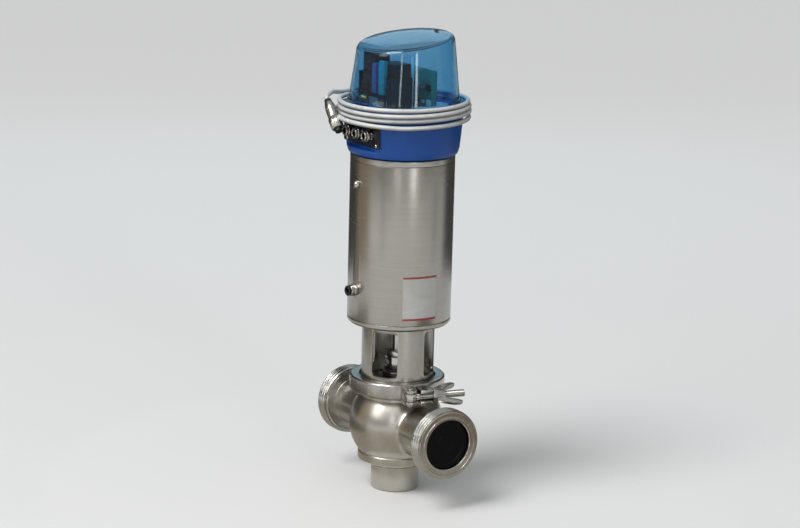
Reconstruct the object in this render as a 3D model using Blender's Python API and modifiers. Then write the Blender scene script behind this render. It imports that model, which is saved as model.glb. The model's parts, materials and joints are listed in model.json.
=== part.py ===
"""A hygienic single-seat shut-off valve, opened by air and closed by a spring.

It has a ball-shaped body with two side ports and a port below, a hinged clamp with a wing nut,
a windowed lantern, a steel actuator cylinder and a blue control head with its signal cable.

The origin is the centre of the bottom port's face. +Z runs up the stem and +X out of the front
port. Sizes and places are in millimetres, and MM turns them into metres.
"""

import math

import bmesh
import bpy
from mathutils import Matrix, Vector

MM = 0.001
GAP = 0.3  # between pieces that touch
ROUND = 28  # sides of the large round pieces
SMALL = 12  # sides of the small ones

# pipe and body
PIPE_R, BORE_R = 26.5, 25.0
BALL_R, BALL_Z, WALL = 52.0, 75.0, 3.0
SKIRT_R, SKIRT_LOW, SKIRT_HIGH = 41.0, 33.0, 43.0
TUBE_END = 88.0
FLANGE_R, FLANGE_TOP = 46.0, 119.8
MOUTH_R = 36.3
THREAD_R, UNION_LONG = 39.0, 17.0
PLUG_SEAT_R, PLUG_SEAT_DEEP = 27.5, 10.3

# clamp: x is measured outwards at the lug, y along the bolt
LUG_ANGLE = -12.0
CLAMP_R, CLAMP_LIP_R, CLAMP_LOW, CLAMP_HIGH = 52.5, 42.0, 111.0, 130.0
CLAMP_MID = (CLAMP_LOW + CLAMP_HIGH) / 2
PIVOT_X, PIVOT_Y = 64.0, -8.0
LUG_REACH = 24.0  # from the bolt's pivot to the face that the washer bears on
HINGE_X, KNUCKLE_R, HINGE_PIN_R = -59.5, 6.0, 2.5
BOLT_R, BOLT_LONG = 4.0, 62.0
WING_ANGLE = 25.0

# lantern and actuator
LANTERN_R, LANTERN_IN_R, LANTERN_TOP = 40.0, 37.0, 190.7
WINDOW_WIDE, WINDOW_LOW, WINDOW_HIGH = 30.0, 134.0, 184.0
CYLINDER_R, CYLINDER_IN_R = 57.0, 55.0
SHELL_LOW, SHELL_HIGH, COVER_TOP = 197.3, 372.0, 380.0
AIR_Z, VENT_Z = 231.0, 348.0
SCREW_X, SCREW_R = 40.0, 2.5  # the screws through the cover that hold the head
AIR_TUBE_R = 3.1

# stem
STEM_R, TIP_R = 8.0, 4.0
SEAL_POCKET_R = 12.3
PISTON_LOW, PISTON_HIGH = 240.0, 254.0
SPRING_R, SPRING_WIRE_R, SPRING_TURNS = 38.0, 3.2, 5.5
SPRING_POINTS = 11  # in each turn

# control head
HEAD_LOW, HEAD_HIGH, HEAD_R, HEAD_IN_R = 380.3, 431.0, 65.0, 57.0
PANEL_OUT, PANEL_IN = 53.0, 49.5
PORT_Z, PORT_PITCH, PORT_SHANK_R = 404.0, 19.0, 6.0
DOME_LOW, DOME_R, DOME_TOP_R, DOME_HIGH = 433.0, 60.0, 53.2, 505.0
DOME_EDGE_R, DOME_EDGE_Z = 7.6, 495.2  # the rounded edge of its crown
DOME_WALL, DOME_TILT = 2.6, math.radians(8)
GLAND_ANGLE = 137.0

# cable
CABLE_R = 2.5
CONNECTOR_AT = Vector((-34.0, -75.0, 433.0))
CONNECTOR_AXIS = Vector((30.0, -2.0, -31.0)).normalized()


# ---------------------------------------------------------------- scene and materials


def clear_scene():
    for obj in list(bpy.data.objects):
        bpy.data.objects.remove(obj, do_unlink=True)


def collection(name):
    made = bpy.data.collections.new(name)
    bpy.context.scene.collection.children.link(made)
    return made


def material(name, colour, roughness, metallic=0.0, alpha=1.0):
    made = bpy.data.materials.new(name)
    made.use_nodes = True
    shader = made.node_tree.nodes["Principled BSDF"]
    shader.inputs["Base Color"].default_value = (*colour, 1.0)
    shader.inputs["Roughness"].default_value = roughness
    shader.inputs["Metallic"].default_value = metallic
    shader.inputs["Alpha"].default_value = alpha
    return made


clear_scene()
PARTS = collection("pneumatic_actuated_valve")
CUTTERS = collection("cutters")

STEEL = ("satin_steel", (0.50, 0.48, 0.44), 0.38, 1.0)
BRUSHED = ("brushed_steel", (0.47, 0.46, 0.42), 0.30, 1.0)
BRIGHT = ("bright_steel", (0.68, 0.67, 0.64), 0.22, 1.0)
CAST = ("cast_steel", (0.42, 0.41, 0.39), 0.45, 1.0)
SPRING_STEEL = ("spring_steel", (0.20, 0.20, 0.21), 0.35, 1.0)
NICKEL = ("nickel_brass", (0.62, 0.60, 0.55), 0.25, 1.0)
SEAL = ("black_rubber", (0.012, 0.012, 0.013), 0.75)
BUSH = ("bush_plastic", (0.035, 0.025, 0.045), 0.50)
BLUE = ("blue_plastic", (0.018, 0.065, 0.30), 0.42)
CLEAR_BLUE = ("clear_blue", (0.03, 0.22, 0.50), 0.08, 0.0, 0.45)
DARK = ("dark_plastic", (0.02, 0.022, 0.028), 0.50)
BOARD = ("board_green", (0.01, 0.12, 0.09), 0.45)
CABLE = ("cable_grey", (0.62, 0.63, 0.62), 0.48)


def slot(look):
    name, *values = look
    return bpy.data.materials.get(name) or material(name, *values)


def placed(name, data, look=None, parent=None):
    """An object for this data: a part if it has a look, and a cutter if it hasn't."""
    obj = bpy.data.objects.new(name, data)
    obj.parent = parent
    if look:
        data.materials.append(slot(look))
        PARTS.objects.link(obj)
    else:
        CUTTERS.objects.link(obj)
        obj.hide_render = True
        obj.display_type = "WIRE"
    return obj


def empty(name, angle=0.0):
    made = bpy.data.objects.new(name, None)
    made.rotation_euler.z = math.radians(angle)
    PARTS.objects.link(made)
    return made


# ---------------------------------------------------------------- shapes


def polar(radius, angle, z=0.0):
    a = math.radians(angle)
    return Vector((radius * math.cos(a), radius * math.sin(a), z))


def arc(centre, radius, start, end, steps):
    """Points on an arc from one angle to the other, in degrees."""
    angles = [math.radians(start + (end - start) * i / steps) for i in range(steps + 1)]
    return [(centre[0] + radius * math.cos(a), centre[1] + radius * math.sin(a)) for a in angles]


def turned(name, profile, look=None, sides=ROUND, parent=None):
    """A turned piece about its own Z. The profile of radii and heights runs down its outer side,
    and closes on itself where it doesn't reach the axis."""
    mesh = bpy.data.meshes.new(name)
    points = [(r * MM, 0.0, z * MM) for r, z in profile]
    edges = [(i, i + 1) for i in range(len(points) - 1)]
    if profile[0][0] > 0:
        edges.append((len(points) - 1, 0))
    mesh.from_pydata(points, edges, [])
    obj = placed(name, mesh, look, parent)
    screw = obj.modifiers.new("turn", "SCREW")
    screw.steps = screw.render_steps = sides
    screw.use_merge_vertices = True
    screw.merge_threshold = 0.000001
    return obj


def ring(name, outer, inner, low, high, look=None, sides=ROUND, parent=None):
    profile = [(outer, high), (outer, low), (inner, low), (inner, high)]
    return turned(name, profile, look, sides, parent)


def rod(name, radius, low, high, look=None, sides=ROUND, parent=None):
    return turned(name, [(0, high), (radius, high), (radius, low), (0, low)], look, sides, parent)


def box(name, low, high, look=None, bevel=0.0, parent=None):
    low, high = Vector(low) * MM, Vector(high) * MM
    mesh = bpy.data.meshes.new(name)
    bm = bmesh.new()
    bmesh.ops.create_cube(bm, size=1.0)
    bmesh.ops.scale(bm, vec=high - low, verts=bm.verts)
    bmesh.ops.translate(bm, vec=(low + high) / 2, verts=bm.verts)
    bm.to_mesh(mesh)
    bm.free()
    obj = placed(name, mesh, look, parent)
    if bevel:
        edges = obj.modifiers.new("round", "BEVEL")
        edges.width = bevel * MM
        edges.segments = 2
    return obj


def slab(name, outline, low, high, turn=None, look=None, parent=None):
    """A flat plate with this outline, from low to high along Z, then turned by a matrix."""
    curve = bpy.data.curves.new(name, "CURVE")
    curve.dimensions = "2D"
    curve.fill_mode = "BOTH"
    curve.extrude = (high - low) / 2 * MM
    spline = curve.splines.new("POLY")
    spline.points.add(len(outline) - 1)
    for point, (x, y) in zip(spline.points, outline):
        point.co = (x * MM, y * MM, 0.0, 1.0)
    spline.use_cyclic_u = True
    drawn = bpy.data.objects.new(name + "_outline", curve)
    CUTTERS.objects.link(drawn)
    bpy.context.view_layer.update()
    flat = drawn.evaluated_get(bpy.context.evaluated_depsgraph_get())
    mesh = bpy.data.meshes.new_from_object(flat)
    bpy.data.objects.remove(drawn, do_unlink=True)
    mesh.transform(Matrix.Translation((0.0, 0.0, (low + high) / 2 * MM)))
    mesh.transform(turn or Matrix())
    bm = bmesh.new()
    bm.from_mesh(mesh)
    bmesh.ops.remove_doubles(bm, verts=bm.verts, dist=0.000001)
    bmesh.ops.recalc_face_normals(bm, faces=bm.faces)
    bm.to_mesh(mesh)
    bm.free()
    mesh.materials.clear()
    return placed(name, mesh, look, parent)


def tube(name, points, radius, look, sides=2):
    """A round tube along these points, in millimetres."""
    curve = bpy.data.curves.new(name, "CURVE")
    curve.dimensions = "3D"
    curve.bevel_depth = radius * MM
    curve.bevel_resolution = sides
    curve.use_fill_caps = True
    spline = curve.splines.new("POLY")
    spline.points.add(len(points) - 1)
    for point, place in zip(spline.points, points):
        point.co = (*(Vector(place) * MM), 1.0)
    return placed(name, curve, look)


def smooth_route(points, per_span):
    """A smooth curve through the route's points (Catmull-Rom)."""
    ends = [points[0] * 2 - points[1], *points, points[-1] * 2 - points[-2]]
    out = []
    for a, b, c, d in zip(ends, ends[1:], ends[2:], ends[3:]):
        for k in range(per_span):
            t = k / per_span
            cubic = (b * 3 - a - c * 3 + d) * t**3
            out.append((b * 2 + (c - a) * t + (a * 2 - b * 5 + c * 4 - d) * t**2 + cubic) / 2)
    return [*out, points[-1]]


def combine(obj, other, operation):
    step = obj.modifiers.new(operation.lower(), "BOOLEAN")
    step.operation = operation
    step.object = other
    step.solver = "EXACT"


def cut(obj, *others):
    for other in others:
        combine(obj, other, "DIFFERENCE")


def join(obj, *others):
    for other in others:
        combine(obj, other, "UNION")


def aim(obj, origin, direction):
    """Put an object's own Z along a direction, with its origin at a point in millimetres."""
    obj.location = Vector(origin) * MM
    obj.rotation_euler = Vector(direction).to_track_quat("Z", "Y").to_euler()
    return obj


# ---------------------------------------------------------------- body


def valve_body():
    inner_r = BALL_R - WALL
    neck_r, land_r = 40.2, 38.0  # where the ball meets the flange, and the seat ring inside
    mouth_z, foot_z = BALL_Z + math.sqrt(inner_r**2 - (MOUTH_R - 1) ** 2), SKIRT_HIGH + GAP
    outer_arc = arc(
        (0, BALL_Z),
        BALL_R,
        math.degrees(math.acos(neck_r / BALL_R)),
        math.degrees(math.asin((foot_z - BALL_Z) / BALL_R)),
        8,
    )
    inner_arc = arc(
        (0, BALL_Z),
        inner_r,
        math.degrees(math.acos((MOUTH_R - 1) / inner_r)),
        -math.degrees(math.acos(land_r / inner_r)),
        7,
    )
    flange = [(0, FLANGE_TOP), (FLANGE_R, FLANGE_TOP), (FLANGE_R, 116.0), (41.4, 113.4), (neck_r, 113.2)]
    shell = turned("body_shell", [*flange, *outer_arc, (0, foot_z)], STEEL)
    tubes = aim(rod("port_tubes", PIPE_R, -TUBE_END, TUBE_END), (0, 0, BALL_Z), (1, 0, 0))
    mouth = [(0, FLANGE_TOP + 1), (MOUTH_R, FLANGE_TOP + 1), (MOUTH_R, mouth_z)]
    inside = turned("body_inside", [*mouth, *inner_arc, (land_r, foot_z - 1), (0, foot_z - 1)])
    bore = aim(rod("port_bore", BORE_R, -TUBE_END - 5, TUBE_END + 5), (0, 0, BALL_Z), (1, 0, 0))
    join(shell, tubes)
    cut(shell, inside, bore)


def seat_and_neck():
    """The ring with the seat that closes the ball below, and the neck under it."""
    seat = [(BORE_R, SKIRT_LOW), (BORE_R, 37.0), (31.0, SKIRT_HIGH)]
    turned("seat_ring", [(SKIRT_R, SKIRT_HIGH), (SKIRT_R, SKIRT_LOW), *seat], STEEL)
    ring("neck_tube", PIPE_R, BORE_R, 0.0, SKIRT_LOW - GAP, STEEL)


def pipe_union(name, side):
    """The male union with its round thread's outside, welded to a side port."""
    step = UNION_LONG - PLUG_SEAT_DEEP
    profile = [
        (THREAD_R - 1, UNION_LONG),
        (THREAD_R, UNION_LONG - 1),
        (THREAD_R, 1.5),
        (THREAD_R - 3, 0),
        (BORE_R, 0),
        (BORE_R, step),
        (PLUG_SEAT_R, step),
        (PLUG_SEAT_R, UNION_LONG),
    ]
    aim(turned(name, profile, BRIGHT), (side * (TUBE_END + GAP), 0, BALL_Z), (side, 0, 0))


def port_plug():
    """The transport plug in the front port, hollow from behind."""
    seat = TUBE_END + GAP + UNION_LONG - PLUG_SEAT_DEEP + GAP
    face, dish, back, skin = 101.0, 99.4, 80.0, 2.0
    rim_r, sleeve_r = PLUG_SEAT_R - GAP, BORE_R - GAP
    profile = [
        (0, dish),
        (rim_r - 5, dish),
        (rim_r - 3.5, face),
        (rim_r, face),
        (rim_r, seat),
        (sleeve_r, seat),
        (sleeve_r, back),
        (sleeve_r - skin, back),
        (sleeve_r - skin, dish - skin),
        (0, dish - skin),
    ]
    aim(turned("port_plug", profile, DARK), (0, 0, BALL_Z), (1, 0, 0))


def bonnet():
    hole, pocket = STEM_R + GAP, SEAL_POCKET_R
    profile = [
        (15.2, 134.0),
        (16.0, 133.2),
        (16.0, 123.6),
        (FLANGE_R, 123.6),
        (FLANGE_R, 121.6),
        (MOUTH_R - GAP, 121.6),
        (MOUTH_R - GAP, 112.0),
        (pocket, 112.0),
        (pocket, 118.0),
        (hole, 118.0),
        (hole, 125.7),
        (pocket, 125.7),
        (pocket, 134.0),
    ]
    turned("bonnet", profile, STEEL)
    ring("body_gasket", 44.0, MOUTH_R + GAP, 120.1, 121.3, SEAL)
    ring("stem_seal", pocket - GAP, hole, 112.3, 117.7, SEAL, SMALL)
    bush = [(13.6, 136.5), (14.4, 135.7), (14.4, 134.3), (12.0, 134.3), (12.0, 126.0), (hole, 126.0)]
    turned("stem_bush", [*bush, (hole, 136.5)], BUSH, SMALL)


# ---------------------------------------------------------------- clamp


def clamp_ring(name, keep_side):
    """Half of the grooved ring: the half at negative y, or the one at positive y."""
    profile = [
        (CLAMP_R - 1.5, CLAMP_HIGH),
        (CLAMP_R, CLAMP_HIGH - 1.5),
        (CLAMP_R, CLAMP_LOW + 1.5),
        (CLAMP_R - 1.5, CLAMP_LOW),
        (CLAMP_LIP_R, CLAMP_LOW),
        (CLAMP_LIP_R, 113.0),
        (FLANGE_R + GAP, 115.3),
        (FLANGE_R + GAP, 125.8),
        (CLAMP_LIP_R, 128.2),
        (CLAMP_LIP_R, CLAMP_HIGH),
    ]
    half = turned(name, profile, CAST, ROUND, CLAMP)
    reach, split = 90.0, 0.5
    low_y, high_y = (-split, reach) if keep_side < 0 else (-reach, split)
    cut(half, box(name + "_cut", (-reach, low_y, 100), (reach, high_y, 140), parent=CLAMP))
    return half


def upright(name, radius, x, y, low, high, look=None):
    """A round piece standing in the clamp's own frame."""
    made = rod(name, radius, low, high, look, SMALL, CLAMP)
    made.location = (x * MM, y * MM, 0.0)
    return made


def hinge_arm(name, side, low, high):
    outline = [(-48, 14), (-50, 2), (-57, 1), (-65, 2), (-54, 14)]
    return slab(name, [(x, side * y) for x, y in outline], low, high, parent=CLAMP)


def clamp_front_half():
    half = clamp_ring("clamp_front_half", -1)
    cheek = 6.8
    tip = arc((PIVOT_X, PIVOT_Y), cheek, 90, -90, 5)
    outline = [(47, PIVOT_Y + cheek), *tip, (47, PIVOT_Y - cheek)]
    lug = slab("front_lug", outline, CLAMP_LOW + 1, CLAMP_HIGH - 1, parent=CLAMP)
    join(
        half,
        lug,
        upright("front_knuckle", KNUCKLE_R, HINGE_X, 0, 116, 125),
        hinge_arm("front_arm", -1, 116, 125),
    )
    cut(
        half,
        box("front_slot", (56.2, -20, 116), (75, 0, 125), parent=CLAMP),
        upright("front_pivot_hole", 3.3, PIVOT_X, PIVOT_Y, 105, 135),
        upright("front_hinge_hole", HINGE_PIN_R + GAP, HINGE_X, 0, 105, 135),
    )
    upright("pivot_pin", 3.0, PIVOT_X, PIVOT_Y, CLAMP_LOW, CLAMP_HIGH, BRIGHT)
    upright("hinge_pin", HINGE_PIN_R, HINGE_X, 0, CLAMP_LOW, CLAMP_HIGH, BRIGHT)


def clamp_rear_half():
    half = clamp_ring("clamp_rear_half", 1)
    tip = arc((PIVOT_X, PIVOT_Y), LUG_REACH, 73, 125, 6)
    outline = [(47, 1.2), (PIVOT_X + 7, 1.2), *tip, (47, 10)]
    lug = slab("rear_lug", outline, CLAMP_LOW + 1, CLAMP_HIGH - 1, parent=CLAMP)
    join(half, lug)
    for place, low, high in (("low", 111.3, 115.7), ("high", 125.3, 129.7)):
        join(
            half,
            upright(f"rear_knuckle_{place}", KNUCKLE_R, HINGE_X, 0, low, high),
            hinge_arm(f"rear_arm_{place}", 1, low, high),
        )
    cut(
        half,
        box("rear_slot", (59.2, 0, 116), (75, 20, 125), parent=CLAMP),
        upright("rear_hinge_hole", HINGE_PIN_R + GAP, HINGE_X, 0, 105, 135),
    )


def along_bolt(obj):
    """Lay a turned piece on the bolt: its height is then its distance from the pivot."""
    obj.location = (PIVOT_X * MM, PIVOT_Y * MM, CLAMP_MID * MM)
    obj.rotation_euler = (math.radians(-90), 0.0, 0.0)
    return obj


def clamp_bolt():
    eye = upright("clamp_bolt", 6.5, PIVOT_X, PIVOT_Y, 116.3, 124.7, BRIGHT)
    tip = [(0, BOLT_LONG), (BOLT_R - 1, BOLT_LONG), (BOLT_R, BOLT_LONG - 1), (BOLT_R, 4), (0, 4)]
    join(eye, along_bolt(turned("bolt_shank", tip, None, SMALL, CLAMP)))
    cut(eye, upright("bolt_eye", 3.3, PIVOT_X, PIVOT_Y, 105, 135))


def clamp_nut():
    washer_low, washer_high = LUG_REACH + GAP, LUG_REACH + 2.8
    hole = BOLT_R + GAP
    washer = ring("clamp_washer", 8.5, hole, washer_low, washer_high, BRIGHT, SMALL, CLAMP)
    along_bolt(washer)
    seat, hub_r, hub_long = washer_high + GAP, 7.0, 12.0
    hub = [(0, hub_long), (5.5, hub_long), (hub_r, 3), (hub_r, 0), (0, 0)]
    nut = turned("wing_nut", [(r, seat + a) for r, a in hub], BRIGHT, SMALL, CLAMP)
    wing = [(4, 0.5), (9, 2), (14, 10), (17, 20), (17, 26), (14.5, 29), (12, 27.5), (8, 16), (4, 11)]
    stand = Matrix.Rotation(math.radians(90), 4, "X")
    for name, side in (("wing_left", -1), ("wing_right", 1)):
        outline = [(side * x, seat + y) for x, y in wing]
        tilt = Matrix.Rotation(math.radians(WING_ANGLE), 4, "Z")
        join(nut, along_bolt(slab(name, outline, -1.6, 1.6, tilt @ stand, parent=CLAMP)))
    cut(nut, along_bolt(rod("nut_hole", hole, seat - 1, seat + 20, None, SMALL, CLAMP)))
    along_bolt(nut)


# ---------------------------------------------------------------- lantern and actuator


def lantern():
    profile = [
        (LANTERN_R, LANTERN_TOP),
        (LANTERN_R, 127.8),
        (41.4, 127.6),
        (FLANGE_R, 125.0),
        (FLANGE_R, 123.9),
        (LANTERN_IN_R, 123.9),
        (LANTERN_IN_R, LANTERN_TOP),
    ]
    tower = turned("lantern", profile, BRUSHED)
    corner, half = 5.0, WINDOW_WIDE / 2
    tall = (WINDOW_HIGH - WINDOW_LOW) / 2
    corners = ((1, 1, 0), (-1, 1, 90), (-1, -1, 180), (1, -1, 270))
    outline = []
    for x, y, start in corners:
        centre = (x * (half - corner), y * (tall - corner))
        outline += arc(centre, corner, start, start + 90, 3)
    stand = Matrix.Rotation(math.radians(90), 4, "Y") @ Matrix.Rotation(math.radians(90), 4, "Z")
    for k, angle in enumerate((35, 125, 215, 305)):
        window = slab(f"window_{k + 1}", outline, 30, 50, stand)
        window.location.z = (WINDOW_LOW + WINDOW_HIGH) / 2 * MM
        window.rotation_euler.z = math.radians(angle)
        cut(tower, window)


def actuator_casing():
    hole, pocket, spigot_r = STEM_R + GAP, SEAL_POCKET_R, CYLINDER_IN_R - GAP
    base = [
        (spigot_r, 215),
        (spigot_r, SHELL_LOW - GAP),
        (CYLINDER_R, SHELL_LOW - GAP),
        (CYLINDER_R, 192.2),
        (CYLINDER_R - 1.2, 191),
        (LANTERN_IN_R - 0.5, 191),
        (LANTERN_IN_R - 0.5, 186),
        (hole, 186),
        (hole, 196),
        (pocket, 196),
        (pocket, 200),
        (48, 200),
        (48, 215),
    ]
    turned("actuator_base", base, BRUSHED)
    ring("rod_seal", pocket - GAP, hole, 196.3, 199.7, SEAL, SMALL)
    shell = ring("cylinder_shell", CYLINDER_R, CYLINDER_IN_R, SHELL_LOW, SHELL_HIGH, BRUSHED)
    for name, radius, z in (("air_hole", 5.3, AIR_Z), ("vent_hole", 3.3, VENT_Z)):
        cut(shell, aim(rod(name, radius, 45, 65, None, SMALL), (0, 0, z), (0, -1, 0)))
    cover = [
        (CYLINDER_R - 1.2, COVER_TOP),
        (CYLINDER_R, COVER_TOP - 1.2),
        (CYLINDER_R, SHELL_HIGH + GAP),
        (spigot_r, SHELL_HIGH + GAP),
        (spigot_r, 360),
        (10.3, 360),
        (10.3, 366),
        (TIP_R + GAP, 366),
        (TIP_R + GAP, COVER_TOP),
    ]
    lid = turned("top_cover", cover, BRUSHED)
    for side in (-1, 1):
        hole_cutter = rod(f"cover_screw_hole_{side}", SCREW_R + GAP, 369, COVER_TOP + 1, None, SMALL)
        hole_cutter.location.x = side * SCREW_X * MM
        cut(lid, hole_cutter)
    ring("tip_seal", 10.0, TIP_R + GAP, 360.3, 365.7, SEAL, SMALL)


def push_in_fitting(name, x, z, seat, inner, shank_r, collar_look):
    """A fitting that a 6 mm air tube pushes into, facing -Y, and its release collar."""
    end = seat + 7.5
    body = [
        (6.6, end),
        (6.6, seat),
        (shank_r, seat),
        (shank_r, inner),
        (AIR_TUBE_R, inner),
        (AIR_TUBE_R, end - 4.5),
        (4.8, end - 4.5),
        (4.8, end),
    ]
    collar = [
        (5.6, end + 3),
        (5.6, end + 1.3),
        (4.5, end + 1.3),
        (4.5, end - 3.2),
        (AIR_TUBE_R, end - 3.2),
        (AIR_TUBE_R, end + 3),
    ]
    aim(turned(name, body, NICKEL, SMALL), (x, 0, z), (0, -1, 0))
    aim(turned(name + "_collar", collar, collar_look, SMALL), (x, 0, z), (0, -1, 0))


def vent_plug():
    seat = CYLINDER_R + GAP
    profile = [(0, seat + 4.6), (3.2, seat + 4.2), (4.5, seat + 2.8), (4.5, seat), (3.0, seat)]
    vent = turned("vent_plug", [*profile, (3.0, 53.5), (0, 53.5)], BRIGHT, SMALL)
    aim(vent, (0, 0, VENT_Z), (0, -1, 0))


# ---------------------------------------------------------------- stem


def stem():
    hole = STEM_R + GAP
    rod("valve_stem", STEM_R, 50.3, 147.9, BRIGHT, SMALL)
    plug = [
        (hole, 57),
        (14, 57),
        (16, 51.5),
        (30.5, 48.5),
        (30.5, 44.2),
        (26.5, 44.2),
        (26.5, 40.6),
        (27.7, 40.6),
        (24.5, 37.4),
        (0, 37.4),
    ]
    turned("valve_plug", [(0, 50), (hole, 50), *plug], BRIGHT)
    turned("plug_seal", [(31.2, 43.9), (28.2, 40.9), (26.8, 40.9), (26.8, 43.9)], SEAL)
    coupling = [(13, 151), (14, 150), (14, 138), (13, 137), (hole, 137), (hole, 151)]
    turned("stem_coupling", coupling, BRIGHT, SMALL)
    hex_nut("lock_nut", 14.5, 151.3, 157.0)
    upper = [
        (0, 459.7),
        (TIP_R, 459.7),
        (TIP_R, 266),
        (STEM_R, 264),
        (STEM_R, PISTON_LOW - GAP),
        (11, PISTON_LOW - GAP),
        (11, 230),
        (STEM_R, 230),
        (STEM_R, 148.2),
        (0, 148.2),
    ]
    turned("piston_rod", upper, BRIGHT, SMALL)
    hex_nut("piston_nut", 14.5, PISTON_HIGH + GAP, PISTON_HIGH + 8)
    magnet = [(0, 463), (8, 463), (9, 462), (9, 455), (TIP_R + GAP, 455), (TIP_R + GAP, 460), (0, 460)]
    turned("position_magnet", magnet, DARK, SMALL)


def hex_nut(name, corner_r, low, high):
    nut = rod(name, corner_r, low, high, BRIGHT, 6)
    cut(nut, rod(name + "_hole", STEM_R + GAP, low - 1, high + 1, None, SMALL))


def piston():
    outer, groove = CYLINDER_IN_R - 0.6, 51.3
    grooves = ((251.6, 248.4), (246.6, 242.4))
    profile = [(outer, PISTON_HIGH)]
    for high, low in grooves:
        profile += [(outer, high), (groove, high), (groove, low), (outer, low)]
    profile += [(outer, PISTON_LOW), (STEM_R + GAP, PISTON_LOW), (STEM_R + GAP, PISTON_HIGH)]
    turned("piston", profile, BRIGHT)
    for name, look, (high, low) in zip(("piston_guide_ring", "piston_seal"), (BUSH, SEAL), grooves):
        ring(name, CYLINDER_IN_R - GAP, groove + GAP, low + GAP, high - GAP, look)


def return_spring():
    low = PISTON_HIGH + GAP + SPRING_WIRE_R
    high = 360 - GAP - SPRING_WIRE_R
    steps = round(SPRING_TURNS * SPRING_POINTS)
    points = []
    for i in range(steps + 1):
        share = i / steps
        # the end coils lie nearly flat
        rise = share - 0.08 * math.sin(math.tau * share)
        points.append(polar(SPRING_R, 360 * SPRING_TURNS * share, low + (high - low) * rise))
    tube("return_spring", points, SPRING_WIRE_R, SPRING_STEEL, 1)


# ---------------------------------------------------------------- control head


def head_base():
    outer = [
        (0, HEAD_HIGH),
        (HEAD_R - 1, HEAD_HIGH),
        (HEAD_R, HEAD_HIGH - 1),
        (HEAD_R - 0.8, 418),
        (61.0, 384),
        (59.4, HEAD_LOW),
        (0, HEAD_LOW),
    ]
    base = turned("head_base", outer, BLUE)
    floor = HEAD_LOW + 4
    cavity = rod("head_cavity", HEAD_IN_R, floor, HEAD_HIGH + 5)
    cut(cavity, box("cavity_flat", (-70, -70, 370), (70, -PANEL_IN, 450)))
    recess = box("panel_recess", (-40, -80, 388), (40, -PANEL_OUT, 423))
    cut(base, cavity, recess, rod("rod_passage", 10.3, 370, 400, None, SMALL))
    for k in (-1, 0, 1):
        port = rod(f"panel_hole_{k}", PORT_SHANK_R + GAP, 40, 70, None, SMALL)
        cut(base, aim(port, (k * PORT_PITCH, 0, PORT_Z), (0, -1, 0)))
    gland_hole = rod("gland_hole", 7.3, 45, 75, None, SMALL)
    cut(base, aim(gland_hole, (0, 0, PORT_Z), polar(1, GLAND_ANGLE)))
    seat = floor + GAP
    for number, side in ((1, -1), (2, 1)):
        through = rod(f"base_screw_hole_{number}", SCREW_R + GAP, 370, 390, None, SMALL)
        through.location.x = side * SCREW_X * MM
        cut(base, through)
        bolt = [(0, seat + 3.4), (4.2, seat + 3.4), (5, seat + 2.6), (5, seat), (SCREW_R, seat)]
        screw = turned(f"head_screw_{number}", [*bolt, (SCREW_R, 370), (0, 370)], BRIGHT, SMALL)
        screw.location.x = side * SCREW_X * MM
    ring("dome_seal", 61.0, HEAD_IN_R + 0.6, HEAD_HIGH + GAP, DOME_LOW - GAP, SEAL)


def head_insides():
    floor = HEAD_LOW + 4 + GAP
    box("sensor_housing", (-34, -38, floor), (34, -12, 468), DARK, 2.5)
    box("circuit_board", (-40, 13, floor), (40, 14.8, 472), BOARD)
    pilot = box("pilot_valve", (-20, 18, floor), (20, 42, 426), DARK, 1.5)
    button_hole = rod("button_hole", 2.8, 418, 430, None, SMALL)
    button_hole.location = (10 * MM, 30 * MM, 0.0)
    cut(pilot, button_hole)
    button = turned("override_button", [(0, 428), (2.1, 428), (2.5, 427.6), (2.5, 421), (0, 421)], BLUE, 16)
    button.location = (10 * MM, 30 * MM, 0.0)


def dome():
    """The clear cover: a turned shell whose crown is then tilted."""
    corner = (DOME_TOP_R - DOME_EDGE_R, DOME_EDGE_Z)
    edge = arc(corner, DOME_EDGE_R, 70, 5, 2)
    inner_edge = arc(corner, DOME_EDGE_R - DOME_WALL, 5, 70, 2)
    outer_side = [(DOME_R, 438.0), (61.7, 437.2), (61.7, DOME_LOW), (57.8, DOME_LOW)]
    profile = [(0, DOME_HIGH), (25, DOME_HIGH - 0.5), *edge, *outer_side]
    profile += [(DOME_R - DOME_WALL, 438.0), *inner_edge]
    profile += [(25, DOME_HIGH - 0.5 - DOME_WALL), (0, DOME_HIGH - DOME_WALL)]
    cover = turned("dome", profile, CLEAR_BLUE)
    bpy.context.view_layer.update()
    mesh = bpy.data.meshes.new_from_object(cover.evaluated_get(bpy.context.evaluated_depsgraph_get()))
    cover.modifiers.clear()
    cover.data = mesh
    start, full = 440 * MM, 490 * MM
    for vertex in mesh.vertices:
        share = min(1.0, max(0.0, (vertex.co.z - start) / (full - start)))
        vertex.co.z += vertex.co.y * math.tan(DOME_TILT) * share


# ---------------------------------------------------------------- cable


def gland():
    profile = [
        (5.2, 85),
        (6.6, 83),
        (8.0, 79),
        (8.0, 71),
        (9.4, 70),
        (9.4, 66),
        (7.0, 65.8),
        (7.0, 51.5),
        (2.9, 51.5),
        (2.9, 85),
    ]
    aim(turned("cable_gland", profile, NICKEL, SMALL), (0, 0, PORT_Z), polar(1, GLAND_ANGLE))


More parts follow.
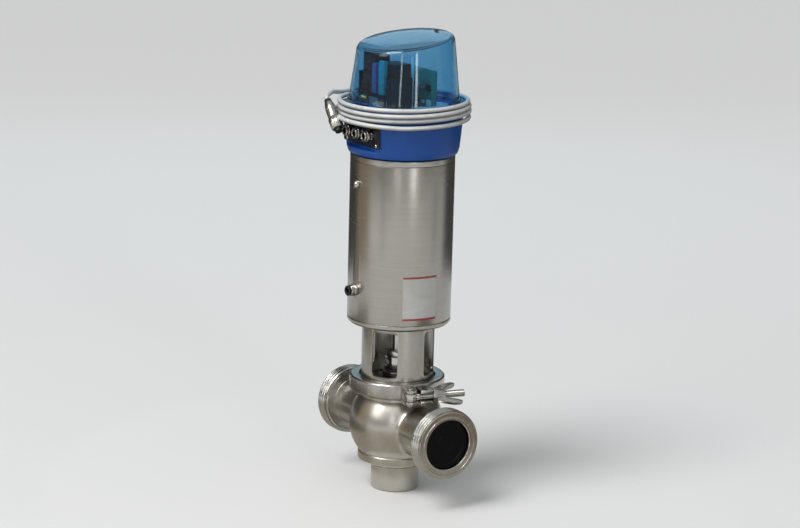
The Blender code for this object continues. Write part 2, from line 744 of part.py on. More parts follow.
def cable():
    lead = [
        polar(85.3, 137, PORT_Z),
        polar(92, 137.6, PORT_Z + 0.2),
        polar(99, 142, PORT_Z + 1.4),
        polar(101.5, 151, PORT_Z + 4),
        polar(98.5, 162, PORT_Z + 8),
        polar(92, 173, PORT_Z + 12),
        polar(85, 184, PORT_Z + 15.5),
        polar(79.5, 195, PORT_Z + 17.5),
        polar(76.3, 205, PORT_Z + 18),
    ]
    tube("cable_lead", smooth_route(lead, 2), CABLE_R, CABLE)
    winding = [
        (73.0, 440.0),
        (73.0, 426.0),
        (70.5, 422.0),
        (70.5, 415.5),
        (65.4, 415.5),
        (65.4, 431.4),
        (62.8, 431.7),
        (62.8, 440.0),
    ]
    turned("cable_coil", winding, CABLE)
    behind = CONNECTOR_AT - CONNECTOR_AXIS * GAP * 3
    tail = [
        polar(76.4, 206, 436),
        polar(77.6, 216, 438),
        polar(79.4, 226, 440),
        polar(81.3, 235, 439.8),
        behind - CONNECTOR_AXIS * 6,
        behind,
    ]
    tube("cable_tail", smooth_route(tail, 3), CABLE_R, CABLE)


def connector():
    neck, hole = 4.6, 4.9
    body = [(0, 27.7), (neck, 27.7), (neck, 20), (6, 20), (6, 8), (4.2, 0), (0, 0)]
    nut = [(7, 34), (7, 20.3), (hole, 20.3), (hole, 28), (5.6, 28), (5.6, 34)]
    insert = [(0, 38), (3.9, 38), (4.3, 37.6), (4.3, 28), (0, 28)]
    pieces = (("body", body, NICKEL), ("nut", nut, NICKEL), ("insert", insert, DARK))
    for name, profile, look in pieces:
        aim(turned(f"connector_{name}", profile, look, SMALL), CONNECTOR_AT, CONNECTOR_AXIS)


CLAMP = empty("clamp_frame", LUG_ANGLE)

valve_body()
seat_and_neck()
pipe_union("union_front", 1)
pipe_union("union_rear", -1)
port_plug()
bonnet()
clamp_front_half()
clamp_rear_half()
clamp_bolt()
clamp_nut()
lantern()
actuator_casing()
push_in_fitting("air_fitting", 0, AIR_Z, CYLINDER_R + GAP, 53.5, 5.0, DARK)
vent_plug()
stem()
piston()
return_spring()
head_base()
head_insides()
dome()
for number, across in enumerate((-PORT_PITCH, 0, PORT_PITCH), 1):
    push_in_fitting(f"port_fitting_{number}", across, PORT_Z, PANEL_OUT + GAP, 45, PORT_SHANK_R, NICKEL)
gland()
cable()
connector()
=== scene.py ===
"""The looks of a hygienic single-seat valve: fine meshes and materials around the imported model.

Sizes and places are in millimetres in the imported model's frame, and MM turns them into metres.
"""

import json
import math
import random

import bmesh
import bpy
import numpy as np
from mathutils import Matrix, Vector


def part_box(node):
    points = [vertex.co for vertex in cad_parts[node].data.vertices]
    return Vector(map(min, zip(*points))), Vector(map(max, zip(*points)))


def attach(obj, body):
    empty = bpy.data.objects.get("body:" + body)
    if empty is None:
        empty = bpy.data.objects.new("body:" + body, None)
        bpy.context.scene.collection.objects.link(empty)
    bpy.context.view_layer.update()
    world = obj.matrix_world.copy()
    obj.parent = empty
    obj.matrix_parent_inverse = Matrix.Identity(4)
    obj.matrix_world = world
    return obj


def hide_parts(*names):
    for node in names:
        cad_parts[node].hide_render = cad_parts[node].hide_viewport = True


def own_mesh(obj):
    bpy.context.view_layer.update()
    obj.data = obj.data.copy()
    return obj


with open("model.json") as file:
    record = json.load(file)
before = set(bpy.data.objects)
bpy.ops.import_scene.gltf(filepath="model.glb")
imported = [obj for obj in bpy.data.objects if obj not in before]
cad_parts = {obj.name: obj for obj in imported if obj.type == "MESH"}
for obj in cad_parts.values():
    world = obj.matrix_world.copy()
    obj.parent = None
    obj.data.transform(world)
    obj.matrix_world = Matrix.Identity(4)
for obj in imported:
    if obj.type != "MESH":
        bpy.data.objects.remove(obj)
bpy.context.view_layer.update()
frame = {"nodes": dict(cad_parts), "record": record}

MM = 0.001
X, Y, Z = Vector((1, 0, 0)), Vector((0, 1, 0)), Vector((0, 0, 1))
FINE, MEDIUM, COARSE = 128, 64, 32  # sides of turned pieces


def low(node):
    """A CAD node's lowest corner in millimetres."""
    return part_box(node)[0] / MM


def high(node):
    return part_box(node)[1] / MM


# ---------------------------------------------------------------- sizes

BALL_Z, BALL_R, BALL_IN_R = 75.0, 52.0, 49.0
PIPE_R, BORE_R = 26.5, 25.0
SKIRT_R, SKIRT_LOW = 41.0, 33.0
TUBE_END = high("body_shell").x
FLANGE_R, FLANGE_TOP, MOUTH_R = 46.0, high("body_shell").z, 36.3
THREAD_R, UNION_LONG = high("union_front").y, high("union_front").x - low("union_front").x
THREAD_PITCH, THREAD_DEEP = 4.233, 1.9

LUG_ANGLE = math.radians(-12)
CLAMP_R, CLAMP_LIP_R = 52.5, 42.0
CLAMP_LOW, CLAMP_HIGH = low("clamp_front_half").z, high("clamp_front_half").z
CLAMP_MID = (CLAMP_LOW + CLAMP_HIGH) / 2
PIVOT_X, PIVOT_Y, LUG_REACH = 64.0, -8.0, 24.0
HINGE_X, KNUCKLE_R, HINGE_PIN_R = -59.5, 6.0, 2.5
BOLT_R, BOLT_LONG, BOLT_PITCH = 4.0, 62.0, 1.25
WING_ANGLE = math.radians(25)

LANTERN_R, LANTERN_IN_R, LANTERN_TOP = 40.0, 37.0, high("lantern").z
WINDOW_WIDE, WINDOW_LOW, WINDOW_HIGH = 30.0, 134.0, 184.0
WINDOW_ANGLES = (35, 125, 215, 305)
CYLINDER_R, CYLINDER_IN_R = 57.0, 55.0
SHELL_LOW, SHELL_HIGH = low("cylinder_shell").z, high("cylinder_shell").z
COVER_TOP = high("top_cover").z
AIR_Z, VENT_Z = 231.0, 348.0
STEM_R, STEM_HOLE = 8.0, 8.3

HEAD_LOW, HEAD_HIGH, HEAD_R, HEAD_IN_R = low("head_base").z, high("head_base").z, 65.0, 57.0
PANEL_OUT, PANEL_IN = 53.0, 49.5
PORT_Z, PORT_PITCH = 404.0, 19.0
DOME_LOW, DOME_R, DOME_TOP_R, DOME_HIGH = low("dome").z, 60.0, 53.2, 505.0
DOME_WALL, DOME_TILT = 2.6, math.radians(8)
LEAN_FROM, LEAN_FULL = 440.0, 490.0
SCREW_X = 40.0
GLAND_ANGLE, GLAND_END = 137.0, 85.3
GAP = 0.3  # between pieces that touch

CABLE_R = 2.5
CONNECTOR_AT = Vector((-34.0, -75.0, 433.0))
CONNECTOR_AXIS = Vector((30.0, -2.0, -31.0)).normalized()

# towards the camera, and to its right
TOWARD = Vector((math.sin(math.radians(57)), -math.cos(math.radians(57)), 0))
RIGHT = Vector((-TOWARD.y, TOWARD.x, 0))


# ---------------------------------------------------------------- placing


def polar(radius, angle, z=0.0):
    a = math.radians(angle)
    return Vector((radius * math.cos(a), radius * math.sin(a), z))


def at(x, y):
    return Matrix.Translation((x * MM, y * MM, 0))


def turn(angle, axis):
    return Matrix.Rotation(math.radians(angle), 4, axis)


def along(origin, direction):
    """The matrix that puts Z along a direction, with the origin at a point in millimetres."""
    facing = Vector(direction).to_track_quat("Z", "Y").to_matrix().to_4x4()
    return Matrix.Translation(Vector(origin) * MM) @ facing


def linked(name, data, place=None):
    """A new object in the scene."""
    obj = bpy.data.objects.new(name, data)
    bpy.context.scene.collection.objects.link(obj)
    if place is not None:
        obj.matrix_world = place
    return obj


def surface(points, faces):
    mesh = bpy.data.meshes.new("mesh")
    mesh.from_pydata(points, [], faces)
    return mesh


# ---------------------------------------------------------------- materials


class Tree:
    """A node tree, with short ways to add to it. A value is a number, a colour or an output."""

    def __init__(self, owner):
        owner.use_nodes = True
        self.nodes, self.links = owner.node_tree.nodes, owner.node_tree.links

    def put(self, socket, value):
        if isinstance(value, bpy.types.NodeSocket):
            self.links.new(value, socket)
        elif socket.type == "RGBA":
            socket.default_value = (*value, 1)
        else:
            socket.default_value = value

    def add(self, kind, inputs=(), output=0, **settings):
        """Add a node with these inputs and settings, and return one of its outputs."""
        node = self.nodes.new("ShaderNode" + kind)
        for name, value in settings.items():
            setattr(node, name, value)
        for key, value in dict(inputs).items():
            self.put(node.inputs[key], value)
        return node.outputs[output]

    def fit(self, value, before, after):
        """Map a value from one range to another, clamped."""
        return self.add("MapRange", enumerate((value, *before, *after)))

    def tint(self, factor, a, b, blend="MIX"):
        """Mix two colours by a factor."""
        return self.add("Mix", {0: factor, 6: a, 7: b}, 2, data_type="RGBA", blend_type=blend)

    def ramp(self, value, stops):
        """A colour ramp with these (position, grey or colour) stops."""
        output = self.add("ValToRGB", {0: value})
        elements = output.node.color_ramp.elements
        while len(elements) < len(stops):
            elements.new(0.5)
        for element, (place, shade) in zip(elements, stops):
            element.position = place
            element.color = (*shade, 1) if isinstance(shade, tuple) else (shade, shade, shade, 1)
        return output


class Look(Tree):
    """A material's node tree, built around its Principled shader."""

    def __init__(self, name, **values):
        self.material = bpy.data.materials.new(name)
        super().__init__(self.material)
        self.shader = self.nodes["Principled BSDF"]
        self.place = self.add("TexCoord", output="Object")
        self.fixed(**values)

    def fixed(self, **values):
        for name, value in values.items():
            self.put(self.shader.inputs[name.replace("_", " ")], value)
        return self.material

    def scaled(self, scale):
        scale = (scale,) * 3 if isinstance(scale, (int, float)) else scale
        return self.add("Mapping", {"Scale": scale, "Vector": self.place})

    def noise(self, scale, detail=3.0, rough=0.55, twist=0.0):
        """Noise, with its scale per metre along each axis or along all of them."""
        inputs = {"Detail": detail, "Roughness": rough, "Distortion": twist}
        return self.add("TexNoise", {"Scale": 1.0, "Vector": self.scaled(scale), **inputs}, "Fac")

    def math(self, operation, a, b):
        return self.add("Math", {0: a, 1: b}, operation=operation)

    def bump(self, height, strength, depth_mm, **below):
        inputs = {"Height": height, "Strength": strength, "Distance": depth_mm * MM, **below}
        return self.add("Bump", inputs)


def steel(name, colour, worn, rough, grain, depth, spread=0.10, patch=22.0, anisotropy=0.0):
    """Stainless steel. grain is how finely its finish runs along each axis, per metre."""
    look = Look(name, Metallic=1.0, Anisotropic=anisotropy)
    fine = look.noise(grain, 2.0)
    strokes = look.noise([g * 0.35 for g in grain], 2.0)
    patches = look.noise(patch, 4.0, 0.6, 0.4)
    smears = look.noise(patch * 4.5, 3.0, 0.6, 1.2)
    shade = look.tint(look.fit(patches, (0.40, 0.72), (0, 1)), colour, worn)
    lighter = tuple(min(1.0, c * 1.10) for c in colour)
    varied = look.math("ADD", look.math("MULTIPLY", fine, spread), look.math("MULTIPLY", smears, spread))
    wavy = look.bump(patches, 0.05, 0.5)
    return look.fixed(
        Base_Color=look.tint(look.fit(strokes, (0.4, 0.75), (0, 0.5)), shade, lighter),
        Roughness=look.math("ADD", varied, rough - spread),
        Normal=look.bump(fine, depth, 0.12, Normal=wavy),
    )


def rubber(name, colour, rough=0.72):
    look = Look(name)
    dust = look.fit(look.noise(60, 5.0, 0.65), (0.45, 0.8), (0, 0.55))
    grain = look.noise(2600, 2.0)
    return look.fixed(
        Base_Color=look.tint(dust, colour, tuple(c + 0.035 for c in colour)),
        Roughness=look.fit(grain, (0.2, 0.8), (rough - 0.1, rough + 0.12)),
        Normal=look.bump(grain, 0.25, 0.08),
    )


def moulded(name, colour, scuff, rough=0.38, level=0.45):
    """Moulded plastic: a fine spark-eroded grain, slight flow marks and light scuffs."""
    look = Look(name, Specular_IOR_Level=level)
    flow = look.noise((16, 16, 34), 3.0, 0.5, 0.8)
    base = look.tint(look.fit(flow, (0.3, 0.7), (0, 1)), colour, tuple(c * 0.78 for c in colour))
    scuffs = look.fit(look.noise((240, 240, 60), 5.0, 0.7, 0.6), (0.62, 0.80), (0, 0.5))
    grain = look.noise(1500, 2.0)
    return look.fixed(
        Base_Color=look.tint(scuffs, base, scuff),
        Roughness=look.fit(look.math("ADD", grain, scuffs), (0.2, 1.2), (rough - 0.06, rough + 0.2)),
        Normal=look.bump(grain, 0.22, 0.07),
    )


def clear_blue():
    """Clear blue polycarbonate, which also lets the lamps through to what is inside."""
    look = Look("clear_blue", Transmission_Weight=1.0, IOR=1.5)
    flow = look.noise((14, 14, 30), 3.0, 0.5, 0.7)
    haze = look.noise((420, 420, 120), 4.0, 0.7)
    material = look.fixed(
        Base_Color=look.tint(look.fit(flow, (0.3, 0.75), (0, 1)), (0.33, 0.62, 0.81), (0.26, 0.55, 0.77)),
        Roughness=look.fit(haze, (0.45, 0.8), (0.03, 0.16)),
        Normal=look.bump(flow, 0.18, 0.8),
    )
    passing = look.add("BsdfTransparent", {"Color": (0.45, 0.72, 0.88)})
    is_shadow = look.add("LightPath", output="Is Shadow Ray")
    either = look.add("MixShader", {0: is_shadow, 1: look.shader.outputs[0], 2: passing})
    look.put(look.nodes["Material Output"].inputs["Surface"], either)
    return material


def jacket():
    """The cable's grey jacket, a little soiled, with a faint extrusion grain, and painted shade that darkens
    its downward side.
    """
    look = Look("cable_jacket", Coat_Weight=0.35, Coat_Roughness=0.28)
    soil = look.fit(look.noise(70, 5.0, 0.65, 0.5), (0.42, 0.78), (0, 0.8))
    # painted shade: where the surface faces down, its colour goes towards dark grey
    upwards = look.add("SeparateXYZ", {0: look.add("NewGeometry", output="Normal")}, "Z")
    under = look.fit(upwards, (0.45, -0.75), (0, 1))
    clean = look.tint(soil, (0.62, 0.63, 0.63), (0.42, 0.42, 0.41))
    return look.fixed(
        Base_Color=look.tint(under, clean, (0.12, 0.12, 0.12)),
        Roughness=look.fit(look.noise(1400, 2.0), (0.2, 0.8), (0.36, 0.52)),
        Normal=look.bump(look.noise(300, 3.0), 0.15, 0.15),
    )


def board_green():
    look = Look("circuit_board", Coat_Weight=0.5, Coat_Roughness=0.15)
    inputs = {"Scale": 1.0, "Vector": look.scaled(330)}
    edges = look.add("TexVoronoi", inputs, "Distance", feature="DISTANCE_TO_EDGE")
    tracks = look.fit(edges, (0.04, 0.10), (1, 0))
    return look.fixed(
        Base_Color=look.tint(tracks, (0.010, 0.14, 0.11), (0.035, 0.26, 0.19)),
        Roughness=look.fit(look.noise(500), (0.2, 0.8), (0.30, 0.45)),
        Normal=look.bump(tracks, 0.3, 0.1),
    )


def copper_coil():
    look = Look("copper_winding", Metallic=0.8)
    turns = look.noise((60, 60, 2200), 1.0)
    return look.fixed(
        Base_Color=look.tint(turns, (0.45, 0.16, 0.05), (0.72, 0.32, 0.12)),
        Roughness=look.fit(turns, (0.2, 0.8), (0.3, 0.5)),
        Normal=look.bump(turns, 0.5, 0.2),
    )


def lamp(name, colour, strength):
    look = Look(name, Emission_Color=colour, Emission_Strength=strength)
    glow = look.noise(900, 2.0)
    return look.fixed(
        Base_Color=look.tint(glow, colour, tuple(c * 0.7 for c in colour)),
        Roughness=look.fit(glow, (0.2, 0.8), (0.15, 0.3)),
    )


BRUSHED = steel(
    "brushed_steel", (0.415, 0.40, 0.37), (0.37, 0.35, 0.315), 0.26, (26, 26, 1900), 0.08, 0.05, 9, 0.55
)
SATIN = steel(
    "satin_steel", (0.54, 0.52, 0.475), (0.45, 0.42, 0.37), 0.29, (2400, 2400, 2400), 0.03, 0.05, 17
)
BRIGHT = steel("bright_steel", (0.58, 0.57, 0.545), (0.47, 0.455, 0.42), 0.17, (90, 90, 1600), 0.05, 0.06, 40)
CAST = steel("cast_steel", (0.48, 0.465, 0.43), (0.33, 0.31, 0.28), 0.25, (420, 420, 420), 0.25, 0.10, 60)
WIRE = steel("spring_steel", (0.22, 0.22, 0.23), (0.12, 0.11, 0.10), 0.34, (500, 500, 500), 0.2)
NICKEL = steel(
    "nickel_brass", (0.50, 0.49, 0.455), (0.38, 0.355, 0.30), 0.22, (300, 300, 1200), 0.025, 0.06, 90
)
BLACK = rubber("black_rubber", (0.011, 0.011, 0.012))
BUSH = moulded("bush_plastic", (0.040, 0.026, 0.052), (0.10, 0.09, 0.11), 0.42)
BLUE = moulded("blue_plastic", (0.006, 0.060, 0.275), (0.02, 0.10, 0.36), 0.36, 0.30)
TEAL = moulded("teal_plastic", (0.02, 0.34, 0.36), (0.08, 0.45, 0.47), 0.30)
VIOLET = moulded("violet_plastic", (0.16, 0.13, 0.30), (0.25, 0.22, 0.38), 0.35)
DARK = moulded("dark_plastic", (0.010, 0.011, 0.016), (0.045, 0.045, 0.052), 0.34, 0.35)
FOIL = moulded("label_foil", (0.44, 0.435, 0.42), (0.36, 0.35, 0.33), 0.40)
RED = moulded("label_red", (0.30, 0.035, 0.030), (0.36, 0.08, 0.07), 0.42)
PLUG = moulded("plug_plastic", (0.0025, 0.0025, 0.004), (0.008, 0.008, 0.010), 0.36, 0.14)
GREY = moulded("grey_plastic", (0.16, 0.17, 0.18), (0.24, 0.24, 0.25), 0.42)
WHITE = moulded("white_plastic", (0.70, 0.71, 0.70), (0.55, 0.55, 0.53), 0.40)
CLEAR, JACKET, BOARD, COPPER = clear_blue(), jacket(), board_green(), copper_coil()

NAMED_AS_SLOTS = (SATIN, BRUSHED, BRIGHT, CAST, WIRE, NICKEL, BLACK, BUSH, BLUE, CLEAR, DARK)
SLOTS = {look.name.partition(".")[0]: look for look in NAMED_AS_SLOTS}
SLOTS |= {"board_green": BOARD, "cable_grey": JACKET}


# ---------------------------------------------------------------- camera, floor and lights


def aimed(name, data, place, target):
    """A camera or a light at a place, turned to a target."""
    made = linked(name, data)
    made.location = place
    made.rotation_euler = (Vector(target) - made.location).to_track_quat("-Z", "Y").to_euler()
    return made


def camera():
    """The photograph's view: from a little above, with the front port turned to the right."""
    elevation, distance, roll = math.radians(13.5), 2.8, math.radians(1.5)
    middle = Vector((0, 0, 0.2535))
    data = bpy.data.cameras.new("camera")
    data.lens, data.clip_start = 115, 0.05
    place = middle + (TOWARD * math.cos(elevation) + Z * math.sin(elevation)) * distance
    made = aimed("camera", data, place, middle)
    made.rotation_euler.rotate_axis("Z", roll)
    bpy.context.scene.camera = made


def softbox(name, place, size, power, colour, target=(0, 0, 0.25)):
    data = bpy.data.lights.new(name, "AREA")
    data.shape, data.energy, data.color = "RECTANGLE", power, colour
    data.size, data.size_y = size
    aimed(name, data, place, target)


def staged(name, points, faces, **paint):
    """A plainly painted piece of the studio, which isn't part of the object."""
    mesh = surface(points, faces)
    mesh.materials.append(Look(name + "_paint", **paint).material)
    made = linked(name, mesh)
    return made


def floor():
    size, under = 6.0, -0.0006
    corners = [(x * size, y * size, under) for x, y in ((-1, -1), (1, -1), (1, 1), (-1, 1))]
    staged("floor", corners, [(0, 1, 2, 3)], Base_Color=(0.74, 0.74, 0.735), Roughness=0.8)


def surroundings():
    """A bright room in front of the valve, darker to its sides and grey behind it."""
    world = bpy.data.worlds.new("studio")
    bpy.context.scene.world = world
    tree = Tree(world)
    facing = (0, 0, math.atan2(-TOWARD.y, TOWARD.x))
    generated = tree.add("TexCoord", output="Generated")
    turned_view = tree.add("Mapping", {"Rotation": facing, "Vector": generated})
    view = tree.add("SeparateXYZ", {0: turned_view}).node.outputs
    stops = ((0.0, (0.36, 0.44, 0.54)), (0.10, 0.10), (0.36, 0.06), (0.50, 0.34), (0.62, 0.80), (1.0, 0.95))
    around = tree.ramp(tree.fit(view["X"], (-1, 1), (0, 1)), stops)
    stops = ((0.0, (0.42, 0.38, 0.32)), (0.10, (0.56, 0.54, 0.50)), (0.5, (0.86, 0.88, 0.90)), (1.0, 1.0))
    height = tree.ramp(view["Z"], stops)
    overhead = tree.fit(view["Z"], (0.35, 0.85), (0, 1))
    open_top = tree.tint(overhead, around, (0.8, 0.8, 0.8))
    background = tree.nodes["Background"].inputs
    tree.put(background["Color"], tree.tint(1.0, height, open_top, "MULTIPLY"))
    tree.put(background["Strength"], 0.62)


def card(name, start, end, first, last, colour):
    """A curved studio card that only reflections show, swept round the valve between two angles
    from the camera's side. first and last are the radius and height of its two edges."""
    steps = 12
    points = []
    for i in range(steps + 1):
        outwards = Matrix.Rotation(math.radians(start + (end - start) * i / steps), 3, "Z") @ TOWARD
        points += [outwards * r + Z * z for r, z in (first, last)]
    faces = [(2 * i, 2 * i + 2, 2 * i + 3, 2 * i + 1) for i in range(steps)]
    made = staged(name, points, faces, Base_Color=(0, 0, 0), Emission_Color=colour, Emission_Strength=1.0)
    made.visible_camera = made.visible_diffuse = made.visible_shadow = made.visible_transmission = False


def studio():
    floor()
    surroundings()
    sun = bpy.data.lights.new("daylight", "SUN")
    sun.energy, sun.angle = 1.75, math.radians(28)
    aimed("daylight", sun, TOWARD - RIGHT * 1.3 + Z * 2.6, (0, 0, 0))
    softbox("key", TOWARD * 1.3 - RIGHT * 1.6 + Z * 1.5, (1.3, 1.6), 15, (1.0, 0.985, 0.955))
    softbox("fill", TOWARD * 2.4 + RIGHT * 1.1 + Z * 0.9, (0.22, 1.6), 7, (0.95, 0.98, 1.0))
    softbox("strip", TOWARD * 2.6 - RIGHT * 0.42 + Z * 0.9, (0.14, 1.5), 3, (0.97, 0.99, 1.0))
    # the crown of the dome mirrors this one to the camera
    softbox("back", Vector((-1.85, 1.0, 1.25)), (1.9, 1.0), 3.4, (0.58, 0.86, 1.0), (0, 0, 0.45))
    card("right_flag", 104, 168, (0.95, 0.0), (0.95, 1.1), (0.035, 0.034, 0.032))
    card("left_flag", -168, -106, (0.95, 0.0), (0.95, 1.1), (0.035, 0.036, 0.034))
    card("left_wood", -104, -72, (0.95, 0.0), (0.95, 0.7), (0.34, 0.27, 0.18))
    card("left_stand", -42, -37, (1.2, 0.0), (1.2, 1.1), (0.20, 0.22, 0.25))
    card("right_stand", 70, 84, (1.1, 0.0), (1.1, 1.1), (0.42, 0.42, 0.40))
    card("wood_below", 40, 78, (0.30, 0.002), (0.62, 0.002), (0.16, 0.115, 0.065))
    card("left_below", -150, -70, (0.20, 0.002), (0.60, 0.002), (0.10, 0.09, 0.075))
    card("bench_below", -180, 180, (0.062, 0.001), (0.40, 0.001), (0.36, 0.335, 0.29))
    card("front_sky", -48, 34, (1.35, 1.0), (1.0, 1.9), (0.95, 0.95, 0.92))
    bpy.context.scene.view_settings.view_transform = "Standard"


# ---------------------------------------------------------------- shapes


def arc(centre, radius, start, end, steps):
    angles = [math.radians(start + (end - start) * i / steps) for i in range(steps + 1)]
    return [(centre[0] + radius * math.cos(a), centre[1] + radius * math.sin(a)) for a in angles]


def latitude(radius, ball_radius):
    return math.degrees(math.acos(radius / ball_radius))


def rod(radius, low_z, high_z):
    """The profile of a plain rod."""
    return [(0, high_z), (radius, high_z), (radius, low_z), (0, low_z)]


def ring(outer, inner, low_z, high_z):
    return [(outer, high_z), (outer, low_z), (inner, low_z), (inner, high_z)]


def oblong(half_x, low_y, high_y):
    return [(-half_x, low_y), (half_x, low_y), (half_x, high_y), (-half_x, high_y)]


def softened(points, radius, closed=True, steps=3):
    """The outline with its sharp corners rounded."""
    out, count = [], len(points)
    for i, here in enumerate(points):
        here = Vector(here)
        if not closed and i in (0, count - 1):
            out.append(tuple(here))
            continue
        before, after = Vector(points[i - 1]) - here, Vector(points[(i + 1) % count]) - here
        bend = math.pi - before.angle(after)
        if bend < math.radians(28):
            out.append(tuple(here))
            continue
        back = min(radius * math.tan(bend / 2), before.length * 0.45, after.length * 0.45)
        a, b = here + before.normalized() * back, here + after.normalized() * back
        for k in range(steps + 1):
            t = k / steps
            out.append(tuple(a * (1 - t) ** 2 + here * (2 * t * (1 - t)) + b * t * t))
    return out


def lathe_mesh(profile, sides, soft=0.0):
    """A turned mesh about Z. The profile runs down its outer side, and closes on itself where it
    doesn't reach the axis."""
    closed = profile[0][0] > 0
    line = softened(profile, soft, closed) if soft else profile
    rows = [(max(r, 0.0) * MM, z * MM) for r, z in line]
    angles = np.arange(sides) * math.tau / sides
    points, start = [], []
    for r, z in rows:
        start.append(len(points))
        if r < 1e-9:
            points.append((0.0, 0.0, z))
        else:
            points += [(r * math.cos(a), r * math.sin(a), z) for a in angles]
    faces = []
    pairs = list(zip(range(len(rows)), range(1, len(rows))))
    if closed:
        pairs.append((len(rows) - 1, 0))
    for i, j in pairs:
        pole_i, pole_j = rows[i][0] < 1e-9, rows[j][0] < 1e-9
        for k in range(sides):
            m = (k + 1) % sides
            if pole_i and pole_j:
                continue
            if pole_i:
                faces.append((start[i], start[j] + k, start[j] + m))
            elif pole_j:
                faces.append((start[i] + k, start[j], start[i] + m))
            else:
                faces.append((start[i] + k, start[j] + k, start[j] + m, start[i] + m))
    return surface(points, faces)


def rod_mesh(radius, low_z, high_z, place=None, sides=48, soft=0.0):
    mesh = lathe_mesh(rod(radius, low_z, high_z), sides, soft)
    mesh.transform(place or Matrix())
    return mesh


def slab_mesh(outline, low_z, high_z, place=None):
    """A flat plate with this outline, from low to high along Z, then placed by a matrix."""
    mesh = bpy.data.meshes.new("mesh")
    bm = bmesh.new()
    face = bm.faces.new([bm.verts.new((x * MM, y * MM, low_z * MM)) for x, y in outline])
    lifted = bmesh.ops.extrude_face_region(bm, geom=[face])["geom"]
    tops = [v for v in lifted if isinstance(v, bmesh.types.BMVert)]
    bmesh.ops.translate(bm, vec=(0, 0, (high_z - low_z) * MM), verts=tops)
    bmesh.ops.recalc_face_normals(bm, faces=bm.faces)
    bm.to_mesh(mesh)
    bm.free()
    mesh.transform(place or Matrix())
    return mesh


def block_mesh(low_corner, high_corner):
    a, b = Vector(low_corner), Vector(high_corner)
    return slab_mesh([(a.x, a.y), (b.x, a.y), (b.x, b.y), (a.x, b.y)], a.z, b.z)


def ring_faces(rows, sides, closed=True, flip=False):
    """The faces between rings of points, each ring joined to the next."""
    faces = []
    for i in range(rows if closed else rows - 1):
        j = (i + 1) % rows
        for k in range(sides):
            m = (k + 1) % sides
            face = (i * sides + k, j * sides + k, j * sides + m, i * sides + m)
            faces.append(face[:1] + face[:0:-1] if flip else face)
    return faces


def spot(radius, angle, z):
    return radius * math.cos(angle) * MM, radius * math.sin(angle) * MM, z * MM


# ---------------------------------------------------------------- pieces


def new_object(name, mesh, look, place=None):
    mesh.name = name
    mesh.materials.clear()
    mesh.materials.append(look)
    return linked(name, mesh, place)


def settle(obj, *nodes, body="valve_body", slot=None):
    """Give a finished piece its body, and hide the CAD nodes that it stands for. slot is not used."""
    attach(obj, body)
    if nodes:
        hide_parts(*nodes)
    return obj


def finish_mesh(obj, sharp=32.0):
    """Apply the object's modifiers and shade it smooth up to a sharp edge."""
    bpy.context.view_layer.update()
    shown = obj.evaluated_get(bpy.context.evaluated_depsgraph_get())
    mesh = bpy.data.meshes.new_from_object(shown)
    obj.modifiers.clear()
    obj.data = mesh
    mesh.shade_smooth()
    mesh.set_sharp_from_angle(angle=math.radians(sharp))
    return obj


def carve(obj, cutters=(), additions=(), bevel=0.0, angle=40.0, sharp=32.0):
    """Union and then cut an object with meshes, round the new edges, and apply it all."""
    helpers = []
    for operation, meshes in (("UNION", additions), ("DIFFERENCE", cutters)):
        for mesh in meshes:
            helpers.append(linked("helper", mesh, obj.matrix_world))
            step = obj.modifiers.new(operation.lower(), "BOOLEAN")
            step.operation, step.solver, step.object = operation, "EXACT", helpers[-1]
    if bevel:
        edges = obj.modifiers.new("edges", "BEVEL")
        edges.width, edges.segments = bevel * MM, 2
        edges.limit_method, edges.angle_limit = "ANGLE", math.radians(angle)
        edges.use_clamp_overlap = True
    finish_mesh(obj, sharp)
    for helper in helpers:
        bpy.data.objects.remove(helper, do_unlink=True)
    return obj


def carved(name, mesh, look, *nodes, place=None, cutters=(), additions=(), body="valve_body", **edges):
    """A piece cut from a mesh. edges says how its edges are rounded, as carve does."""
    obj = new_object(name, mesh, look, place)
    return settle(carve(obj, cutters, additions, **edges), *nodes, body=body)


def smooth_piece(name, mesh, look, *nodes, place=None, sharp=32.0, **where):
    return settle(finish_mesh(new_object(name, mesh, look, place), sharp), *nodes, **where)


def turned(name, profile, look, *nodes, sides=MEDIUM, soft=0.3, **where):
    return smooth_piece(name, lathe_mesh(profile, sides, soft), look, *nodes, **where)


def tube(name, points, radius, look, sides=6):
    curve = bpy.data.curves.new(name, "CURVE")
    curve.dimensions = "3D"
    curve.bevel_depth, curve.bevel_resolution, curve.use_fill_caps = radius * MM, sides, True
    spline = curve.splines.new("POLY")
    spline.points.add(len(points) - 1)
    for point, place in zip(spline.points, points):
        point.co = (*(Vector(place) * MM), 1.0)
    spline.use_smooth = True
    curve.materials.append(look)
    return linked(name, curve)


def smooth_route(points, per_span):
    """A smooth curve through the route's points (Catmull-Rom)."""
    ends = [points[0] * 2 - points[1], *points, points[-1] * 2 - points[-2]]
    out = []
    for a, b, c, d in zip(ends, ends[1:], ends[2:], ends[3:]):
        for k in range(per_span):
            t = k / per_span
            cubic = (b * 3 - a - c * 3 + d) * t**3
            out.append((b * 2 + (c - a) * t + (a * 2 - b * 5 + c * 4 - d) * t**2 + cubic) / 2)
    return [*out, points[-1]]


def ribbed(name, outer, inner, low_z, high_z, ribs, rib_deep, *nodes, **where):
    """A nickelled sleeve whose outside has straight ribs or knurls along it."""
    sides = ribs * 6
    angles = [math.tau * k / sides for k in range(sides)]
    rounded = [0.5 + 0.5 * math.cos(ribs * a) for a in angles]
    radii = [outer - rib_deep * (1 - share**0.5) for share in rounded]
    chamfer = rib_deep + 0.5
    rows = [(high_z, chamfer), (high_z - chamfer, 0), (low_z + chamfer, 0), (low_z, chamfer)]
    points = [spot(min(r, outer - less), a, z) for z, less in rows for r, a in zip(radii, angles)]
    points += [spot(inner, a, z) for z in (low_z, high_z) for a in angles]
    mesh = surface(points, ring_faces(len(rows) + 2, sides))
    return smooth_piece(name, mesh, NICKEL, *nodes, sharp=50, **where)


